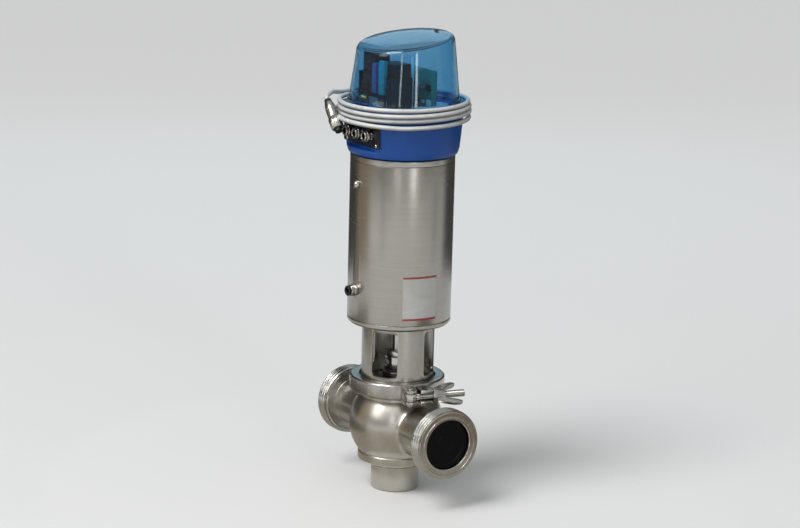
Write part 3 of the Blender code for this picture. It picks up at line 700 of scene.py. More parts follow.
def threaded(name, radius, deep, pitch, low_z, high_z, inner, sides, per_pitch, **where):
    """A bright sleeve or rod with a rounded helical thread; inner is its bore, or 0 for a rod."""
    count = max(8, round((high_z - low_z) / pitch * per_pitch))
    angles = [math.tau * k / sides for k in range(sides)]
    points = []
    for i in range(count + 1):
        z = low_z + (high_z - low_z) * i / count
        fade = min(1.0, (z - low_z) / (0.6 * pitch), (high_z - z) / (0.6 * pitch))
        for a in angles:
            groove = 0.5 + 0.5 * math.cos(math.tau * z / pitch - a)
            points.append(spot(radius - deep * (groove * fade + (1 - fade) * 0.55), a, z))
    rows = count + 1
    if inner:
        points += [spot(inner, a, z) for z in (high_z, low_z) for a in angles]
        faces = ring_faces(rows + 2, sides, flip=True)
    else:
        faces = ring_faces(rows, sides, closed=False, flip=True)
        faces += [tuple(reversed(range(sides))), tuple((rows - 1) * sides + k for k in range(sides))]
    return smooth_piece(name, surface(points, faces), BRIGHT, sharp=60, **where)


def bead(name, radius, z, thick, seed, place=None):
    """A weld seam: a slightly uneven ring."""
    rng = random.Random(seed)
    phases = [rng.uniform(0, math.tau) for _ in range(3)]
    points, sides, around = [], 160, 10
    for k in range(sides):
        a = math.tau * k / sides
        ripple = 1 + 0.10 * math.sin(41 * a + phases[0]) + 0.05 * math.sin(17 * a + phases[1])
        for m in range(around):
            b = math.tau * m / around
            height = z + thick * ripple * math.sin(b) + 0.05 * math.sin(5 * a + phases[2])
            points.append(spot(radius + thick * 0.55 * ripple * math.cos(b), a, height))
    smooth_piece(name, surface(points, ring_faces(sides, around)), SATIN, place=place, sharp=80)


def hexagon(name, across, low_z, high_z, hole, look, *nodes, place=None, **where):
    """A hexagon nut with its corners turned off."""
    corner = across / math.sqrt(3)
    outline = [(corner * math.cos(math.tau * k / 6), corner * math.sin(math.tau * k / 6)) for k in range(6)]
    ease = 0.14 * corner
    round_off = [(corner * 1.5, high_z + 5), (corner * 1.5, low_z - 5), (corner - ease, low_z - 0.01)]
    round_off += [(corner + 0.02, low_z + ease * 0.6), (corner + 0.02, high_z - ease * 0.6)]
    round_off += [(corner - ease, high_z + 0.01)]
    cutters = [lathe_mesh(round_off, 96), rod_mesh(hole, low_z - 2, high_z + 2)]
    nut = new_object(name, slab_mesh(outline, low_z, high_z, turn(30, "Z")), look)
    carve(nut, cutters, bevel=0.15)
    if place is not None:
        nut.matrix_world = place
    settle(nut, *nodes, **where)


# ---------------------------------------------------------------- cable


def cable_route():
    """From the gland round the head a little over four times, and to the connector."""
    lead = ((GLAND_END, 137, 0), (92, 137.6, 0.2), (99, 142, 1.4), (101.5, 151, 4))
    lead += ((98.5, 162, 8), (92, 173, 12), (85, 184, 15.5), (79.5, 195, 17.5))
    start, turns, step = 205.0, 4, 10.0
    heights = ((0, 421.6), (0.34, 416.8), (1.34, 424.2), (2.34, 430.0), (3.34, 435.9), (4.0, 437.0))
    winding = []
    for i in range(int(turns * 360 / step)):
        u = i * step / 360
        angle = start + i * step
        z = float(np.interp(u, *zip(*heights)))
        bulge = 1.6 * math.cos(math.radians(angle - 57)) ** 2 + 0.5 * math.sin(3.1 * u + 1)
        inner = 69.0 + bulge - 1.0 * min(u / 4, 1)
        inner += 0.7 * math.sin(math.radians(1.31 * i * step) + 0.6)
        inner += 7.0 * max(0.0, 1 - u / 0.36)
        inner += 6.5 * max(0.0, 1 - (turns - u) / 0.30)
        wave = 0.7 * math.sin(math.radians(2 * angle)) + 0.3 * math.sin(5 * u)
        winding.append(polar(inner, angle, z + wave))
    tail = ((76.4, 206, 437.0), (77.6, 216, 438), (79.4, 226, 440), (81.3, 235, 439.6))
    route = [polar(r, angle, PORT_Z + above) for r, angle, above in lead]
    route += [*winding, *(polar(*point) for point in tail)]
    route += [CONNECTOR_AT - CONNECTOR_AXIS * 6.9, CONNECTOR_AT + CONNECTOR_AXIS]
    return smooth_route(route, 3)


def cable():
    route = cable_route()
    made = tube("signal_cable", route, CABLE_R, JACKET)
    settle(made, "cable_lead", "cable_coil", "cable_tail")
    connector()


def connector():
    place = along(CONNECTOR_AT, CONNECTOR_AXIS)
    shell = [(0, 27.7), (4.6, 27.7), (4.6, 20), (6.1, 20), (6.1, 11.5), (5.7, 11), (5.7, 10.2), (6.1, 9.7)]
    shell += [(6.0, 7.5), (4.6, 1.2), (3.9, 0), (2.55, 0), (2.55, 4), (0, 4)]
    sleeve = [(4.4, 1.4), (3.6, -3.5), (2.56, -4), (2.56, 1.4)]
    pins = ((0, 0), (2.2, 0), (0, 2.2), (-2.2, 0), (0, -2.2))
    holes = [rod_mesh(0.55, 34, 40, at(x, y), 16) for x, y in pins]
    tip = lathe_mesh(rod(4.3, 28, 38), MEDIUM, 0.35)
    on_nut = {"place": place, "body": "connector_nut"}
    return [
        turned("connector_shell", shell, NICKEL, "connector_body", place=place),
        turned("connector_sleeve", sleeve, BLACK, sides=COARSE, place=place),
        ribbed("connector_ring", 7.0, 4.9, 20.4, 34, 24, 0.45, "connector_nut", **on_nut),
        carved("connector_face", tip, DARK, "connector_insert", place=place, cutters=holes),
    ]


# ---------------------------------------------------------------- body


def body_outside():
    """The ball with its flange, skirt and neck, turned about Z."""
    neck_r = 40.2
    upper = [(0, FLANGE_TOP), (FLANGE_R, FLANGE_TOP), (FLANGE_R, 116.0), (41.4, 113.4), (neck_r, 112.6)]
    ball = arc((0, BALL_Z), BALL_R, latitude(neck_r, BALL_R) - 1.5, -latitude(SKIRT_R, BALL_R) + 1.0, 40)
    skirt = [(SKIRT_R, 42.4), (SKIRT_R + 0.8, 41.6), (SKIRT_R + 0.8, 34.2), (SKIRT_R, SKIRT_LOW)]
    neck = [(PIPE_R + 1.6, SKIRT_LOW), (PIPE_R, 31.0), (PIPE_R, 0), (0, 0)]
    return [*upper, *ball, *skirt, *neck]


def port_outside():
    """A side tube flowing into the ball, turned about Z: from its end inwards."""
    fillet = 9.0
    centre_r = PIPE_R + fillet
    centre_x = math.sqrt((BALL_R + fillet) ** 2 - centre_r**2)
    touch = math.degrees(math.atan2(centre_r, centre_x))
    curve = arc((centre_r, centre_x), fillet, 180, 270 - touch + 3, 14)
    last_r, last_x = curve[-1]
    return [(0, TUBE_END), (PIPE_R, TUBE_END), *curve, (last_r - 2.5, last_x - 4), (0, last_x - 4)]


def valve_body():
    mouth_z = BALL_Z + math.sqrt(BALL_IN_R**2 - (MOUTH_R - 1) ** 2)
    inside = [(0, FLANGE_TOP + 1), (MOUTH_R, FLANGE_TOP + 1), (MOUTH_R, mouth_z)]
    inside += arc((0, BALL_Z), BALL_IN_R, latitude(MOUTH_R - 1, BALL_IN_R), -latitude(38.0, BALL_IN_R), 28)
    inside += [(31.0, 43.0), (BORE_R, 37.0), (BORE_R, -1), (0, -1)]
    ports = []
    for side in (1, -1):
        port = lathe_mesh(port_outside(), 96)
        port.transform(along((0, 0, BALL_Z), (side, 0, 0)))
        ports.append(port)
    cutters = [lathe_mesh(inside, FINE), rod_mesh(BORE_R, -95, 95, along((0, 0, BALL_Z), X), 96)]
    ball = lathe_mesh(body_outside(), FINE, 0.5)
    nodes = ("body_shell", "seat_ring", "neck_tube")
    carved("valve_ball", ball, SATIN, *nodes, cutters=cutters, additions=ports, sharp=38)
    for side, word in ((1, "front"), (-1, "rear")):
        place = along((0, 0, BALL_Z), (side, 0, 0))
        bead(f"weld_seam_{word}", PIPE_R - 0.1, TUBE_END + 0.15, 1.0, side + 5, place)
    bead("weld_seam_neck", PIPE_R + 0.05, 26.0, 0.9, 3)


def pipe_union(name, node, side):
    """The male union: a round thread outside, and a face with its sealing groove."""
    place = along((side * (TUBE_END + GAP), 0, BALL_Z), (side, 0, 0))
    root_r, end, step = THREAD_R - 2.0, UNION_LONG, UNION_LONG - 10.3
    profile = [(THREAD_R - 2.4, end), (THREAD_R - 1.9, end - 0.6), (root_r, end - 2.2)]
    profile += [(THREAD_R - 2.6, end - 3), (THREAD_R - 2.6, 3.0), (root_r, 2.4), (root_r, 1.2)]
    profile += [(THREAD_R - 4.0, 0), (PIPE_R + 2.5, 0), (PIPE_R + 0.2, 0.0), (BORE_R, 0), (BORE_R, step)]
    profile += [(27.5, step), (27.5, end - 1.0), (28.3, end), (31.2, end), (31.6, end - 0.8)]
    profile += [(33.2, end - 0.8), (33.6, end)]
    turned(name, profile, BRIGHT, node, sides=FINE, place=place)
    sizes = (THREAD_R, THREAD_DEEP, THREAD_PITCH, 1.0, UNION_LONG - 0.5, THREAD_R - 3.2)
    threaded(name + "_thread", *sizes, 128, 12, place=place)


def port_plug():
    seat, face = low("port_plug").x, high("port_plug").x
    rim_r, sleeve_r, dish = 27.2, 24.7, face - 1.6
    profile = [(0, dish), (9.0, dish), (9.6, face - 1.1), (10.4, face - 1.1), (11.0, dish)]
    profile += [(rim_r - 5.2, dish), (rim_r - 4.0, face - 0.2), (rim_r - 0.8, face), (rim_r, face - 0.8)]
    profile += [(rim_r, 95.4), (sleeve_r, 95.4), (sleeve_r, seat), (sleeve_r - 2, seat)]
    profile += [(sleeve_r - 2, face - 3.6), (0, face - 3.6)]
    place = along((0, 0, BALL_Z), X)
    turned("transport_plug", profile, PLUG, "port_plug", sides=96, soft=0.5, place=place, body="port_plug")


# ---------------------------------------------------------------- clamp

CLAMP = Matrix.Rotation(LUG_ANGLE, 4, "Z")
BOLT = CLAMP @ Matrix.Translation(Vector((PIVOT_X, PIVOT_Y, CLAMP_MID)) * MM) @ turn(-90, "X")
HINGE_HOLE_R, PIVOT_HOLE_R = HINGE_PIN_R + 0.15, 3.15


def clamp_half(name, node, body, side, additions, cutters):
    profile = [(CLAMP_R - 1.5, CLAMP_HIGH), (CLAMP_R, CLAMP_HIGH - 1.5), (CLAMP_R, CLAMP_LOW + 3.6)]
    profile += [(CLAMP_R - 0.9, CLAMP_LOW + 2.7), (CLAMP_R - 4.6, CLAMP_LOW + 1.9)]
    profile += [(CLAMP_R - 6.0, CLAMP_LOW), (CLAMP_LIP_R, CLAMP_LOW), (CLAMP_LIP_R, 113.0)]
    profile += [(FLANGE_R + GAP, 115.3), (FLANGE_R + GAP, 125.8), (CLAMP_LIP_R, 128.2)]
    profile += [(CLAMP_LIP_R, CLAMP_HIGH)]
    half = new_object(name, lathe_mesh(profile, FINE, 0.7), CAST, CLAMP)
    reach, split = 90.0, 0.5
    low_y, high_y = (-split, reach) if side < 0 else (-reach, split)
    # the half is split off first, so that its lug can reach past the split
    carve(half, [block_mesh((-reach, low_y, 100), (reach, high_y, 140))])
    carve(half, cutters, additions, bevel=0.7, angle=48, sharp=40)
    settle(half, node, body=body)


def hinge_arm(side, low_z, high_z):
    outline = [(-48, 14), (-50, 2), (-57, 1), (-65, 2), (-54, 14)]
    return slab_mesh([(x, side * y) for x, y in outline], low_z, high_z)


def knuckle(side, low_z, high_z):
    return [rod_mesh(KNUCKLE_R, low_z, high_z, at(HINGE_X, 0)), hinge_arm(side, low_z, high_z)]


def clamp():
    cheek, lug = 6.8, (CLAMP_LOW + 1, CLAMP_HIGH - 1)
    hinge, pivot = at(HINGE_X, 0), at(PIVOT_X, PIVOT_Y)
    tip = arc((PIVOT_X, PIVOT_Y), cheek, 90, -90, 20)
    outline = [(47, PIVOT_Y + cheek), *tip, (47, PIVOT_Y - cheek)]
    additions = [slab_mesh(outline, *lug), *knuckle(-1, 116, 125)]
    cutters = [block_mesh((56.2, -20, 116), (75, 0, 125)), rod_mesh(PIVOT_HOLE_R, 105, 135, pivot)]
    cutters.append(rod_mesh(HINGE_HOLE_R, 105, 135, hinge))
    clamp_half("clamp_front", "clamp_front_half", "valve_body", -1, additions, cutters)
    tip = arc((PIVOT_X, PIVOT_Y), LUG_REACH, 73, 125, 20)
    outline = [(47, 1.2), (PIVOT_X + 7, 1.2), *tip, (47, 10)]
    additions = [slab_mesh(outline, *lug), *knuckle(1, 111.3, 115.7), *knuckle(1, 125.3, 129.7)]
    cutters = [block_mesh((59.2, 0, 116), (75, 20, 125)), rod_mesh(HINGE_HOLE_R, 105, 135, hinge)]
    clamp_half("clamp_rear", "clamp_rear_half", "clamp_rear", 1, additions, cutters)
    for name, place, radius in (("pivot_pin", pivot, 3.0), ("hinge_pin", hinge, HINGE_PIN_R)):
        top, bottom, head = high(name).z, low(name).z, radius + 1.1
        profile = [(0, top + 1.6), (head * 0.6, top + 1.4), (head, top + 0.5), (head, top + 0.05)]
        profile += [(radius, top), (radius, bottom), (head, bottom - 0.05), (head, bottom - 0.5)]
        profile += [(head * 0.6, bottom - 1.4), (0, bottom - 1.6)]
        turned(name + "_riveted", profile, BRIGHT, name, sides=COARSE, soft=0.2, place=CLAMP @ place)


def clamp_bolt():
    pivot, near = at(PIVOT_X, PIVOT_Y), LUG_REACH + GAP
    on_bolt = {"body": "clamp_bolt", "place": BOLT}
    hole = rod_mesh(PIVOT_HOLE_R, 105, 135, pivot)
    eye = rod_mesh(6.5, 116.3, 124.7, pivot, 48, 0.8)
    carved("bolt_eye", eye, BRIGHT, "clamp_bolt", cutters=[hole], place=CLAMP, bevel=0.3, body="clamp_bolt")
    turned("bolt_shank", rod(BOLT_R - 0.3, 4, 24), BRIGHT, sides=COARSE, soft=0.2, **on_bolt)
    threaded("bolt_thread", BOLT_R, 0.65, BOLT_PITCH, 14, BOLT_LONG, 0, 32, 6, **on_bolt)
    washer = ring(8.5, BOLT_R + 0.1, near, LUG_REACH + 2.8)
    turned("washer", washer, BRIGHT, "clamp_washer", place=BOLT, body="clamp_washer")


def wing_nut():
    seat = LUG_REACH + 3.1
    hub = [(0, 12), (4.9, 12), (5.6, 11.4), (7.0, 3), (7.4, 1.2), (7.4, 0), (0, 0)]
    wing = [(4, 0.6), (9, 1.6), (13.4, 9), (16.4, 18), (17, 24), (15.8, 28.2), (13.4, 28.6), (10.6, 24)]
    wing += [(7, 14), (4, 10.5)]
    place = Matrix.Rotation(WING_ANGLE, 4, "Z") @ turn(90, "X")
    wings = []
    for side in (-1, 1):
        outline = softened([(side * x, seat + y) for x, y in wing], 3.0, steps=4)
        wings.append(slab_mesh(outline, -1.7, 1.7, place))
    cutters = [rod_mesh(4.05, seat - 2, seat + 20)]
    edges = {"bevel": 1.1, "angle": 50, "sharp": 45}
    hub = lathe_mesh([(r, seat + a) for r, a in hub], 48, 0.4)
    hub = new_object("wing_nut_hub", hub, BRIGHT, BOLT)
    settle(carve(hub, cutters, wings, **edges), "wing_nut", body="wing_nut")


# ---------------------------------------------------------------- bonnet, lantern and stem


def bonnet():
    pocket, rim = 12.3, MOUTH_R - GAP
    profile = [(15.2, 134.0), (16.0, 133.2), (16.0, 126.0), (17.5, 123.6), (FLANGE_R, 123.6)]
    profile += [(FLANGE_R, 121.6), (rim, 121.6), (rim, 112.0), (pocket, 112.0), (pocket, 118.0)]
    profile += [(STEM_HOLE, 118.0), (STEM_HOLE, 125.7), (pocket, 125.7), (pocket, 134.0)]
    turned("bonnet_plate", profile, BRIGHT, "bonnet", sides=FINE, slot="satin_steel")
    turned("flange_gasket", ring(44.6, 36.6, 120.1, 121.3), BLACK, "body_gasket", sides=FINE)
    bush = [(13.4, 136.5), (14.4, 135.6), (14.4, 134.3), (12.0, 134.3), (12.0, 126.0)]
    bush += [(STEM_HOLE, 126.0), (STEM_HOLE, 136.5)]
    turned("stem_guide_bush", bush, BUSH, "stem_bush")


def lantern():
    profile = [(LANTERN_R, LANTERN_TOP), (LANTERN_R, 128.6), (41.4, 127.6), (FLANGE_R, 125.0)]
    profile += [(FLANGE_R, 123.9), (LANTERN_IN_R, 123.9), (LANTERN_IN_R, LANTERN_TOP)]
    half, tall = WINDOW_WIDE / 2, (WINDOW_HIGH - WINDOW_LOW) / 2
    outline = softened([(half, tall), (-half, tall), (-half, -tall), (half, -tall)], 5.0, steps=8)
    cutters = []
    for angle in WINDOW_ANGLES:
        window = slab_mesh(outline, 28, 50, turn(90, "Y") @ turn(90, "Z"))
        window.transform(Matrix.Translation((0, 0, (WINDOW_LOW + WINDOW_HIGH) / 2 * MM)))
        window.transform(turn(angle, "Z"))
        cutters.append(window)
    edges = {"bevel": 0.35, "angle": 60, "sharp": 45}
    carved("lantern_tower", lathe_mesh(profile, 160, 0.4), BRUSHED, "lantern", cutters=cutters, **edges)


def stem():
    def on_stem(*args, **values):
        turned(*args, body="stem", **values)

    on_stem("stem_rod", rod(STEM_R, 50.3, 147.9), BRIGHT, "valve_stem")
    sleeve = [(13.2, 151), (14, 150.2), (14, 137.8), (13.2, 137), (STEM_HOLE, 137), (STEM_HOLE, 151)]
    flats = [block_mesh((-20, -20.2, 141), (20, -12.2, 147)), block_mesh((-20, 12.2, 141), (20, 20.2, 147))]
    sleeve = lathe_mesh(sleeve, 96, 0.2)
    carved("coupling_sleeve", sleeve, BRIGHT, "stem_coupling", cutters=flats, bevel=0.2, body="stem")
    hexagon("coupling_lock_nut", 25.1, 151.3, 157.0, STEM_HOLE, BRIGHT, "lock_nut", body="stem")
    on_stem("piston_rod_lower", rod(STEM_R, 148.2, 260), BRIGHT)
    tip = [(0, 459.7), (3.2, 459.7), (4, 458.9), (4, 262), (0, 262)]
    on_stem("piston_rod_tip", tip, BRIGHT, "piston_rod", sides=COARSE, soft=0.2)
    cap = [(0, 463), (8.2, 463), (9, 462.2), (9, 459.4), (8.4, 459), (8.4, 458), (9, 457.6), (9, 455)]
    cap += [(4.3, 455), (4.3, 460), (0, 460)]
    on_stem("magnet_carrier", cap, DARK, "position_magnet")
    plug = [(0, 57), (14, 57), (16, 51.5), (30.1, 48.9), (30.5, 48.3), (30.5, 44.2), (26.5, 44.2)]
    plug += [(26.5, 40.6), (27.7, 40.6), (24.5, 37.4), (0, 37.4)]
    on_stem("closing_plug", plug, BRIGHT, "valve_plug", sides=FINE, soft=0.4)
    seal = [(31.2, 43.9), (28.2, 40.9), (26.8, 40.9), (26.8, 43.9)]
    on_stem("closing_seal", seal, BLACK, "plug_seal", sides=FINE)


# ---------------------------------------------------------------- actuator


def actuator():
    spigot, inner_r = LANTERN_IN_R - 0.5, CYLINDER_IN_R - GAP
    base = [(inner_r, 200), (inner_r, SHELL_LOW - GAP), (CYLINDER_R, SHELL_LOW - GAP)]
    base += [(CYLINDER_R, 193.2), (CYLINDER_R - 2.2, 191), (spigot, 191), (spigot, 186)]
    base += [(STEM_HOLE, 186), (STEM_HOLE, 200)]
    turned("actuator_end_cap", base, BRUSHED, "actuator_base", sides=160, soft=0.5)
    shell = lathe_mesh(ring(CYLINDER_R, CYLINDER_IN_R, SHELL_LOW, SHELL_HIGH), 192, 0.35)
    holes = [rod_mesh(r, 45, 65, along((0, 0, z), -Y), 32) for r, z in ((5.3, AIR_Z), (3.3, VENT_Z))]
    carved("actuator_cylinder", shell, BRUSHED, "cylinder_shell", cutters=holes, sharp=40)
    top, foot = COVER_TOP - GAP, SHELL_HIGH + GAP
    cover = [(0, top), (CYLINDER_R - 2.0, top), (CYLINDER_R, COVER_TOP - 2.0), (CYLINDER_R, foot)]
    cover += [(inner_r, foot), (inner_r, 366), (0, 366)]
    turned("actuator_top_cover", cover, BRUSHED, "top_cover", sides=160, soft=0.5)
    seat = CYLINDER_R + GAP
    vent = [(0, seat + 4.6), (2.6, seat + 4.4), (4.2, seat + 3.2), (4.5, seat + 2.2), (4.5, seat), (3, seat)]
    vent += [(3, 54), (0, 54)]
    turned("vent_head", vent, BRIGHT, "vent_plug", sides=COARSE, place=along((0, 0, VENT_Z), -Y))


def label():
    """A blank foil label with a plain red edge, curved round the cylinder."""
    middle = math.degrees(math.atan2(TOWARD.y, TOWARD.x)) + 24
    parts = (
        ("label_foil", 206, 250, FOIL),
        ("label_top_edge", 250.2, 252.2, RED),
        ("label_bottom_edge", 203.8, 205.8, RED),
    )
    half, above, thick, steps = 20, 0.05, 0.15, 24
    angles = [middle - half + 2 * half * k / steps for k in range(steps + 1)]
    row = steps + 1
    for name, low_z, high_z, look in parts:
        points, faces = [], []
        for r in (CYLINDER_R + above, CYLINDER_R + above + thick):
            points += [polar(r, a, z) * MM for z in (low_z, high_z) for a in angles]
        for k in range(steps):
            for a, b in ((0, 1), (1, 3), (3, 2), (2, 0)):
                faces.append((a * row + k, b * row + k, b * row + k + 1, a * row + k + 1))
        faces += [(0, row, 3 * row, 2 * row), (steps, 2 * row + steps, 3 * row + steps, row + steps)]
        smooth_piece(name, surface(points, faces), look, sharp=40)


def return_spring():
    """The return spring, a fixed coil between the ends of its CAD node, though the real one shortens as the
    stem rises.
    """
    node_low, node_high = low("return_spring").z, high("return_spring").z
    wire, radius, turns, steps = 3.2, 38.0, 5.5, 200
    start, end = node_low + wire, node_high - wire
    points = []
    for i in range(steps + 1):
        share = i / steps
        rise = share - math.sin(math.tau * share) * 0.08
        points.append(polar(radius, 360 * turns * share, start + (end - start) * rise))
    made = tube("spring_coil", points, wire, WIRE, 4)
    bpy.context.view_layer.update()
    mesh = bpy.data.meshes.new_from_object(made.evaluated_get(bpy.context.evaluated_depsgraph_get()))
    bpy.data.objects.remove(made, do_unlink=True)
    coil = settle(new_object("return_spring_coil", mesh, WIRE), "return_spring")
    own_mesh(coil)


def push_in_fitting(node, body, x, z, seat, inner, collar_look):
    """A push-in air fitting with its hexagon, and the release collar that a finger presses."""
    place = along((x, 0, z), -Y)
    end, shank = seat + 7.5, 5.0 if inner > seat - 6 else 6.0
    barrel = [(5.6, end), (6.1, end - 0.5), (6.1, seat + 3.4), (5.4, seat + 3.1), (shank, seat)]
    barrel += [(shank, inner), (3.1, inner), (3.1, end - 4.5), (4.8, end - 4.5), (4.8, end)]
    turned(node + "_barrel", barrel, NICKEL, node, soft=0.25, place=place)
    hexagon(node + "_hexagon", 11.3, seat + 0.1, seat + 3.2, 5.0, NICKEL, place=place)
    collar = [(5.0, end + 3), (5.6, end + 2.5), (5.6, end + 1.7), (5.0, end + 1.3), (4.5, end + 1.3)]
    collar += [(4.5, end - 3.2), (3.1, end - 3.2), (3.1, end + 2.6), (3.5, end + 3)]
    turned(node + "_release", collar, collar_look, node + "_collar", soft=0.25, place=place, body=body)


# ---------------------------------------------------------------- control head


def head_base():
    profile = [(0, HEAD_HIGH), (HEAD_R - 1.0, HEAD_HIGH), (HEAD_R, HEAD_HIGH - 1.0)]
    profile += [(HEAD_R, HEAD_HIGH - 5.0), (HEAD_R - 0.8, HEAD_HIGH - 6.0), (HEAD_R - 1.0, 418)]
    profile += [(62.6, 400), (61.2, 386), (59.4, HEAD_LOW), (0, HEAD_LOW)]
    bottom = HEAD_LOW + 4
    helper = new_object("cavity", rod_mesh(HEAD_IN_R, bottom, HEAD_HIGH + 5, sides=160), DARK)
    cavity = carve(helper, [block_mesh((-70, -70, 370), (70, -PANEL_IN, 450))]).data
    bpy.data.objects.remove(helper, do_unlink=True)
    recess = slab_mesh(softened(oblong(40, 388, 423), 4.0, steps=5), PANEL_OUT, 80, turn(90, "X"))
    cutters = [cavity, recess, rod_mesh(10.3, 370, 400), *port_holes(6.15)]
    cutters.append(rod_mesh(7.1, 45, 75, along((0, 0, PORT_Z), polar(1, GLAND_ANGLE))))
    cutters += [rod_mesh(2.9, 370, 390, at(x, 0)) for x in (-SCREW_X, SCREW_X)]
    housing, edges = lathe_mesh(profile, 192, 1.0), {"bevel": 0.5, "angle": 50, "sharp": 40}
    carved("head_housing", housing, BLUE, "head_base", cutters=cutters, **edges)
    gasket = ring(61.0, 57.6, HEAD_HIGH + GAP, HEAD_HIGH + 1.7)
    turned("dome_gasket", gasket, BLACK, "dome_seal", sides=FINE, soft=0.4)
    seat = bottom + GAP
    screw = [(0, seat + 1.9), (2.2, seat + 1.9), (2.2, seat + 3.4), (4.2, seat + 3.4), (5, seat + 2.6)]
    screw += [(5, seat), (2.5, seat), (2.5, 371), (0, 371)]
    for number, x in ((1, -SCREW_X), (2, SCREW_X)):
        name, node = f"socket_screw_{number}", f"head_screw_{number}"
        turned(name, screw, BRIGHT, node, sides=COARSE, soft=0.2, place=at(x, 0))
    panel_details()


def port_holes(radius):
    return [rod_mesh(radius, 40, 70, along((k * PORT_PITCH, 0, PORT_Z), -Y)) for k in (-1, 0, 1)]


def panel_details():
    """The air panel's dark plate, whose darkness is painted shade for the recess, with small screws in its
    corners.
    """
    outline = softened(oblong(36, 391, 420), 3.0, steps=4)
    # painted shade: a dark plate laid in the recess to darken it
    plate = slab_mesh(outline, PANEL_OUT - 0.2, PANEL_OUT + 0.5, turn(90, "X"))
    carved("air_panel_plate", plate, DARK, cutters=port_holes(6.4), bevel=0.15)
    head = [(0, 1.6), (1.6, 1.5), (2.3, 0.7), (2.3, -0.5), (0, -0.5)]
    head = [(r, PANEL_OUT + z) for r, z in head]
    for k, (x, z) in enumerate(((-29, 416), (29, 416), (-29, 394), (29, 394))):
        slots = [(1.5, 0.25), (0.25, 1.5)]
        slots = [block_mesh((-a, -b, PANEL_OUT + 0.8), (a, b, PANEL_OUT + 3)) for a, b in slots]
        place = along((x, 0, z), -Y)
        carved(f"panel_screw_{k + 1}", lathe_mesh(head, 32, 0.2), BRIGHT, place=place, cutters=slots)


def gland():
    place = along((0, 0, PORT_Z), polar(1, GLAND_ANGLE))
    body = [(7.6, 72), (7.6, 70.2), (7.0, 66), (7.0, 52), (2.7, 52), (2.7, 72)]
    turned("gland_body", body, NICKEL, "cable_gland", place=place)
    hexagon("gland_hexagon", 17.0, 66.0, 70.0, 7.0, NICKEL, place=place)
    ribbed("gland_cap", 8.1, 5.4, 70.6, 79.5, 18, 0.4, place=place)
    crown = [(4.9, 84.6), (6.3, 83), (7.6, 79.6), (5.4, 79.3), (5.4, 72), (2.6, 72), (2.6, 84.6)]
    turned("gland_crown", crown, NICKEL, soft=0.5, place=place)
    turned("gland_seal", ring(4.6, 2.55, 80, 85.1), BLACK, sides=COARSE, place=place)


def lean(point):
    """The height of a point of the dome once its crown leans: it rises with y."""
    share = min(1.0, max(0.0, (point.z / MM - LEAN_FROM) / (LEAN_FULL - LEAN_FROM)))
    share = share * share * (3 - 2 * share)
    return point.z + point.y * math.tan(DOME_TILT) * share


def dome():
    """The clear cover, with a stepped rim, a thin wall and a leaning crown."""
    edge_r, edge_z, rim_z = 7.6, 495.2, 438.6
    edge = arc((DOME_TOP_R - edge_r, edge_z), edge_r, 72, 4, 8)
    inner_edge = arc((DOME_TOP_R - edge_r, edge_z), edge_r - DOME_WALL, 4, 72, 8)
    crown = [(0, DOME_HIGH + 0.6), (16, DOME_HIGH + 0.3), (32, DOME_HIGH - 0.8)]
    rim = [(DOME_R + 0.3, rim_z), (61.7, 437.4), (61.7, DOME_LOW), (57.8, DOME_LOW)]
    in_step, up_step = (DOME_R - DOME_TOP_R) / 8, (edge_z - rim_z) / 8
    wall = [(DOME_R - k * in_step, rim_z + k * up_step) for k in range(7, 0, -1)]
    inside = [(DOME_R - DOME_WALL, rim_z), *((r - DOME_WALL, z) for r, z in reversed(wall))]
    top = [(32, DOME_HIGH - 0.8 - DOME_WALL), (16, DOME_HIGH - DOME_WALL), (0, DOME_HIGH + 0.6 - DOME_WALL)]
    profile = [*crown, *edge, *wall, *rim, *inside, *inner_edge, *top]
    cover = lathe_mesh(profile, 160, 0.5)
    for vertex in cover.vertices:
        vertex.co.z = lean(vertex.co)
    smooth_piece("dome_cover", cover, CLEAR, "dome", sharp=40, body="dome")
    # a small plug closes the moulding's gate, near the crown's edge
    gate = (RIGHT * 33 - TOWARD * 16) * MM
    gate.z = (DOME_HIGH - 0.8) * MM
    gate.z = lean(gate)
    slope = Vector((0, -math.sin(DOME_TILT), math.cos(DOME_TILT)))
    plug = [(0, 1.2), (1.6, 1.1), (2.6, 0.6), (2.6, 0.1), (1.4, -0.1), (1.2, -1.6), (0, -1.6)]
    turned("dome_gate_plug", plug, BLACK, sides=COARSE, place=along(gate / MM, slope), body="dome")


# ---------------------------------------------------------------- under the dome

CASE_LOW = HEAD_LOW + 4.3
BOARD_BACK = 14.8
BUTTON, WINDING, MAST = (10, 30), (-9, 30), (24, -6)


def block(name, low_corner, high_corner, look, *nodes, **cuts):
    carved(name, block_mesh(low_corner, high_corner), look, *nodes, **cuts)


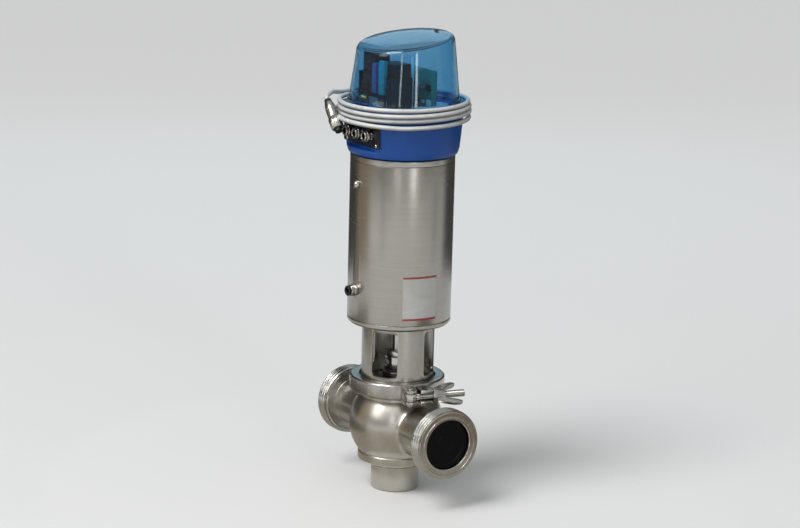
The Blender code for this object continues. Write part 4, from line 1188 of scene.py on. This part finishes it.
def head_insides():
    """What shows through the dome: the sensor housing, the board, the pilot valve and wiring."""
    ribs = [block_mesh((x, -39.2, CASE_LOW + 6), (x + 2.0, -37, 458)) for x in (-28, -14, 12, 26)]
    cuts = {"cutters": [block_mesh((-24, -40, z), (8, -36.8, z + 2.2)) for z in (446, 452)]}
    cuts |= {"additions": ribs, "bevel": 1.0, "angle": 50}
    block("sensor_case", (-34, -38, CASE_LOW), (34, -12, 466), DARK, "sensor_housing", **cuts)
    modules()
    block("status_window", (-10, -38.8, 428), (8, -37.9, 441), GREY, bevel=0.3)
    dot = [(0, 40.2), (1.3, 39.8), (1.7, 38.6), (1.7, 37), (0, 37)]
    for k, (x, colour) in enumerate(((-24, (0.05, 0.75, 0.55)), (-18.5, (0.9, 0.35, 0.05)))):
        look, place = lamp(f"lamp_{k}", colour, 0.6), along((x, 0, 438), -Y)
        turned(f"status_lamp_{k + 1}", dot, look, sides=COARSE, soft=0.2, place=place)
    openings = [
        block_mesh((-70, -70, 415), (70, 0.8 - PANEL_IN, 430)),
        block_mesh((-35, -39.5, 415), (35, -11, 430)),
        block_mesh((-41, 8.5, 415), (41, 16, 430)),
        rod_mesh(2.2, 415, 430, at(*MAST), 24),
        rod_mesh(4.0, 415, 430, at(*BUTTON), 32),
        rod_mesh(9.5, 415, 430, at(*WINDING), 32),
    ]
    plate = rod_mesh(56.3, 422, 424, sides=128, soft=0.3)
    carved("mounting_plate", plate, WHITE, cutters=openings, bevel=0.4)
    board()
    cuts = {"cutters": [rod_mesh(2.7, 412, 430, at(*BUTTON))], "bevel": 1.0}
    block("pilot_body", (-20, 18, CASE_LOW), (20, 42, 420), DARK, "pilot_valve", **cuts)
    turned("pilot_winding", rod(8.5, 419.8, 426), COPPER, soft=0.5, place=at(*WINDING))
    cap, on_cap = [(0, 428), (1.9, 428), (2.5, 427.4), (2.5, 414), (0, 414)], "override_button"
    turned("override_cap", cap, BLUE, on_cap, sides=COARSE, place=at(*BUTTON), body=on_cap)
    turned("index_mast", rod(1.6, CASE_LOW, 486), WHITE, sides=COARSE, place=at(*MAST))
    for k, look in enumerate((JACKET, BLUE, BLACK)):
        route = ((-30, 10, 432, 3), (-36, 2, 440, 3), (-38, -8, 436, 4), (-33, -12.5, 428, 4))
        route = [Vector((x + 4 * k, y, z + step * k)) for x, y, z, step in route]
        settle(tube(f"inner_wire_{k + 1}", smooth_route(route, 8), 0.9, look, 3), slot="cable_grey")


def modules():
    parts = (
        ("relay_block", (13, -41.5, 447), (23, -36.5, 483), TEAL),
        ("terminal_block", (0, -41.5, 447), (8, -36.5, 479), VIOLET),
        ("valve_driver", (-31, -34, 465.5), (-7, -15, 487), DARK),
        ("power_module", (3, -33, 465.5), (31, -13, 480), DARK),
    )
    for name, low_corner, high_corner, look in parts:
        (low_x, low_y, low_z), (high_x, _, high_z) = low_corner, high_corner
        ribs = []
        for share in (0.3, 0.5, 0.7):
            z = low_z + (high_z - low_z) * share
            ribs.append(block_mesh((low_x + 1.5, low_y - 0.8, z), (high_x - 1.5, low_y + 0.8, z + 1.8)))
        block(name, low_corner, high_corner, look, additions=ribs, bevel=0.6, angle=50)


def board():
    """The board with its chips, and behind it a plug row, a relay, capacitors and soldered pins."""
    block("control_board", (-40, 13, CASE_LOW), (40, BOARD_BACK, 472), BOARD, "circuit_board", bevel=0.2)
    rng = random.Random(7)
    for k in range(14):
        x, z = -34 + (k % 7) * 10.5, 436 + (k // 7) * 17 + rng.uniform(-2, 2)
        w, h, deep = rng.uniform(2, 5), rng.uniform(2, 5), rng.uniform(1.2, 3.4)
        corners = (x - w, 13.1 - deep, z - h), (x + w, 13.1, z + h)
        block(f"component_{k + 1}", *corners, rng.choice((DARK, GREY, WHITE)), bevel=0.3)
    parts = (
        ("plug_row", (-34, 434), (2, 441), 4.2, WHITE),
        ("board_relay", (12, 436), (30, 448), 5.0, DARK),
        ("board_driver", (-24, 450), (-8, 461), 1.8, DARK),
        ("board_sensor", (6, 455), (14, 463), 1.6, GREY),
    )
    for name, (low_x, low_z), (high_x, high_z), deep, look in parts:
        sockets = []
        for x in range(low_x + 3, low_x + 39, 6) if name == "plug_row" else ():
            near, far = (x - 1.6, BOARD_BACK + 1.5, low_z + 1.6), (x + 1.6, BOARD_BACK + 6, high_z - 1.6)
            sockets.append(block_mesh(near, far))
        corners = (low_x, BOARD_BACK - 0.1, low_z), (high_x, BOARD_BACK + deep, high_z)
        block(name, *corners, look, cutters=sockets, bevel=0.35, angle=50)
    can = [(0, 7.4), (2.9, 7.4), (3.3, 7.0), (3.3, 1.6), (3.0, 1.2), (3.3, 0.8), (3.3, -0.1), (0, -0.1)]
    for k, x in enumerate((-2, 24)):
        place = along((x, BOARD_BACK, 457 - 3 * k), Y)
        turned(f"capacitor_{k + 1}", can, BRIGHT, sides=COARSE, soft=0.2, place=place)
    solder = [(0, 0.75), (0.55, 0.6), (0.95, 0.15), (1.1, -0.1), (0, -0.1)]
    rng = random.Random(11)
    for k in range(16):
        place = along((-36 + 4.8 * k, BOARD_BACK, 467.0 + rng.uniform(-0.4, 0.4)), Y)
        turned(f"solder_joint_{k + 1}", solder, NICKEL, sides=16, soft=0, place=place)


# ---------------------------------------------------------------- what is left


def leftover_nodes():
    """CAD nodes that stay, all of them inside: smooth shading and their finished materials."""
    for part in frame["record"]["subparts"]:
        node = frame["nodes"][part["node"]]
        if node.hide_render:
            continue
        node.data.materials.clear()
        node.data.materials.append(SLOTS[part["material_slot"]])
        node.data.shade_smooth()
        node.data.set_sharp_from_angle(angle=math.radians(32))


camera()
cable()
studio()
valve_body()
pipe_union("front_union_ring", "union_front", 1)
pipe_union("rear_union_ring", "union_rear", -1)
port_plug()
clamp()
clamp_bolt()
wing_nut()
bonnet()
lantern()
stem()
actuator()
label()
return_spring()
push_in_fitting("air_fitting", "air_collar", 0, AIR_Z, CYLINDER_R + GAP, 53.5, DARK)
head_base()
for number, x in enumerate((-PORT_PITCH, 0, PORT_PITCH), 1):
    node, body = f"port_fitting_{number}", f"port_collar_{number}"
    push_in_fitting(node, body, x, PORT_Z, PANEL_OUT + GAP, 45, NICKEL)
gland()
dome()
head_insides()
leftover_nodes()
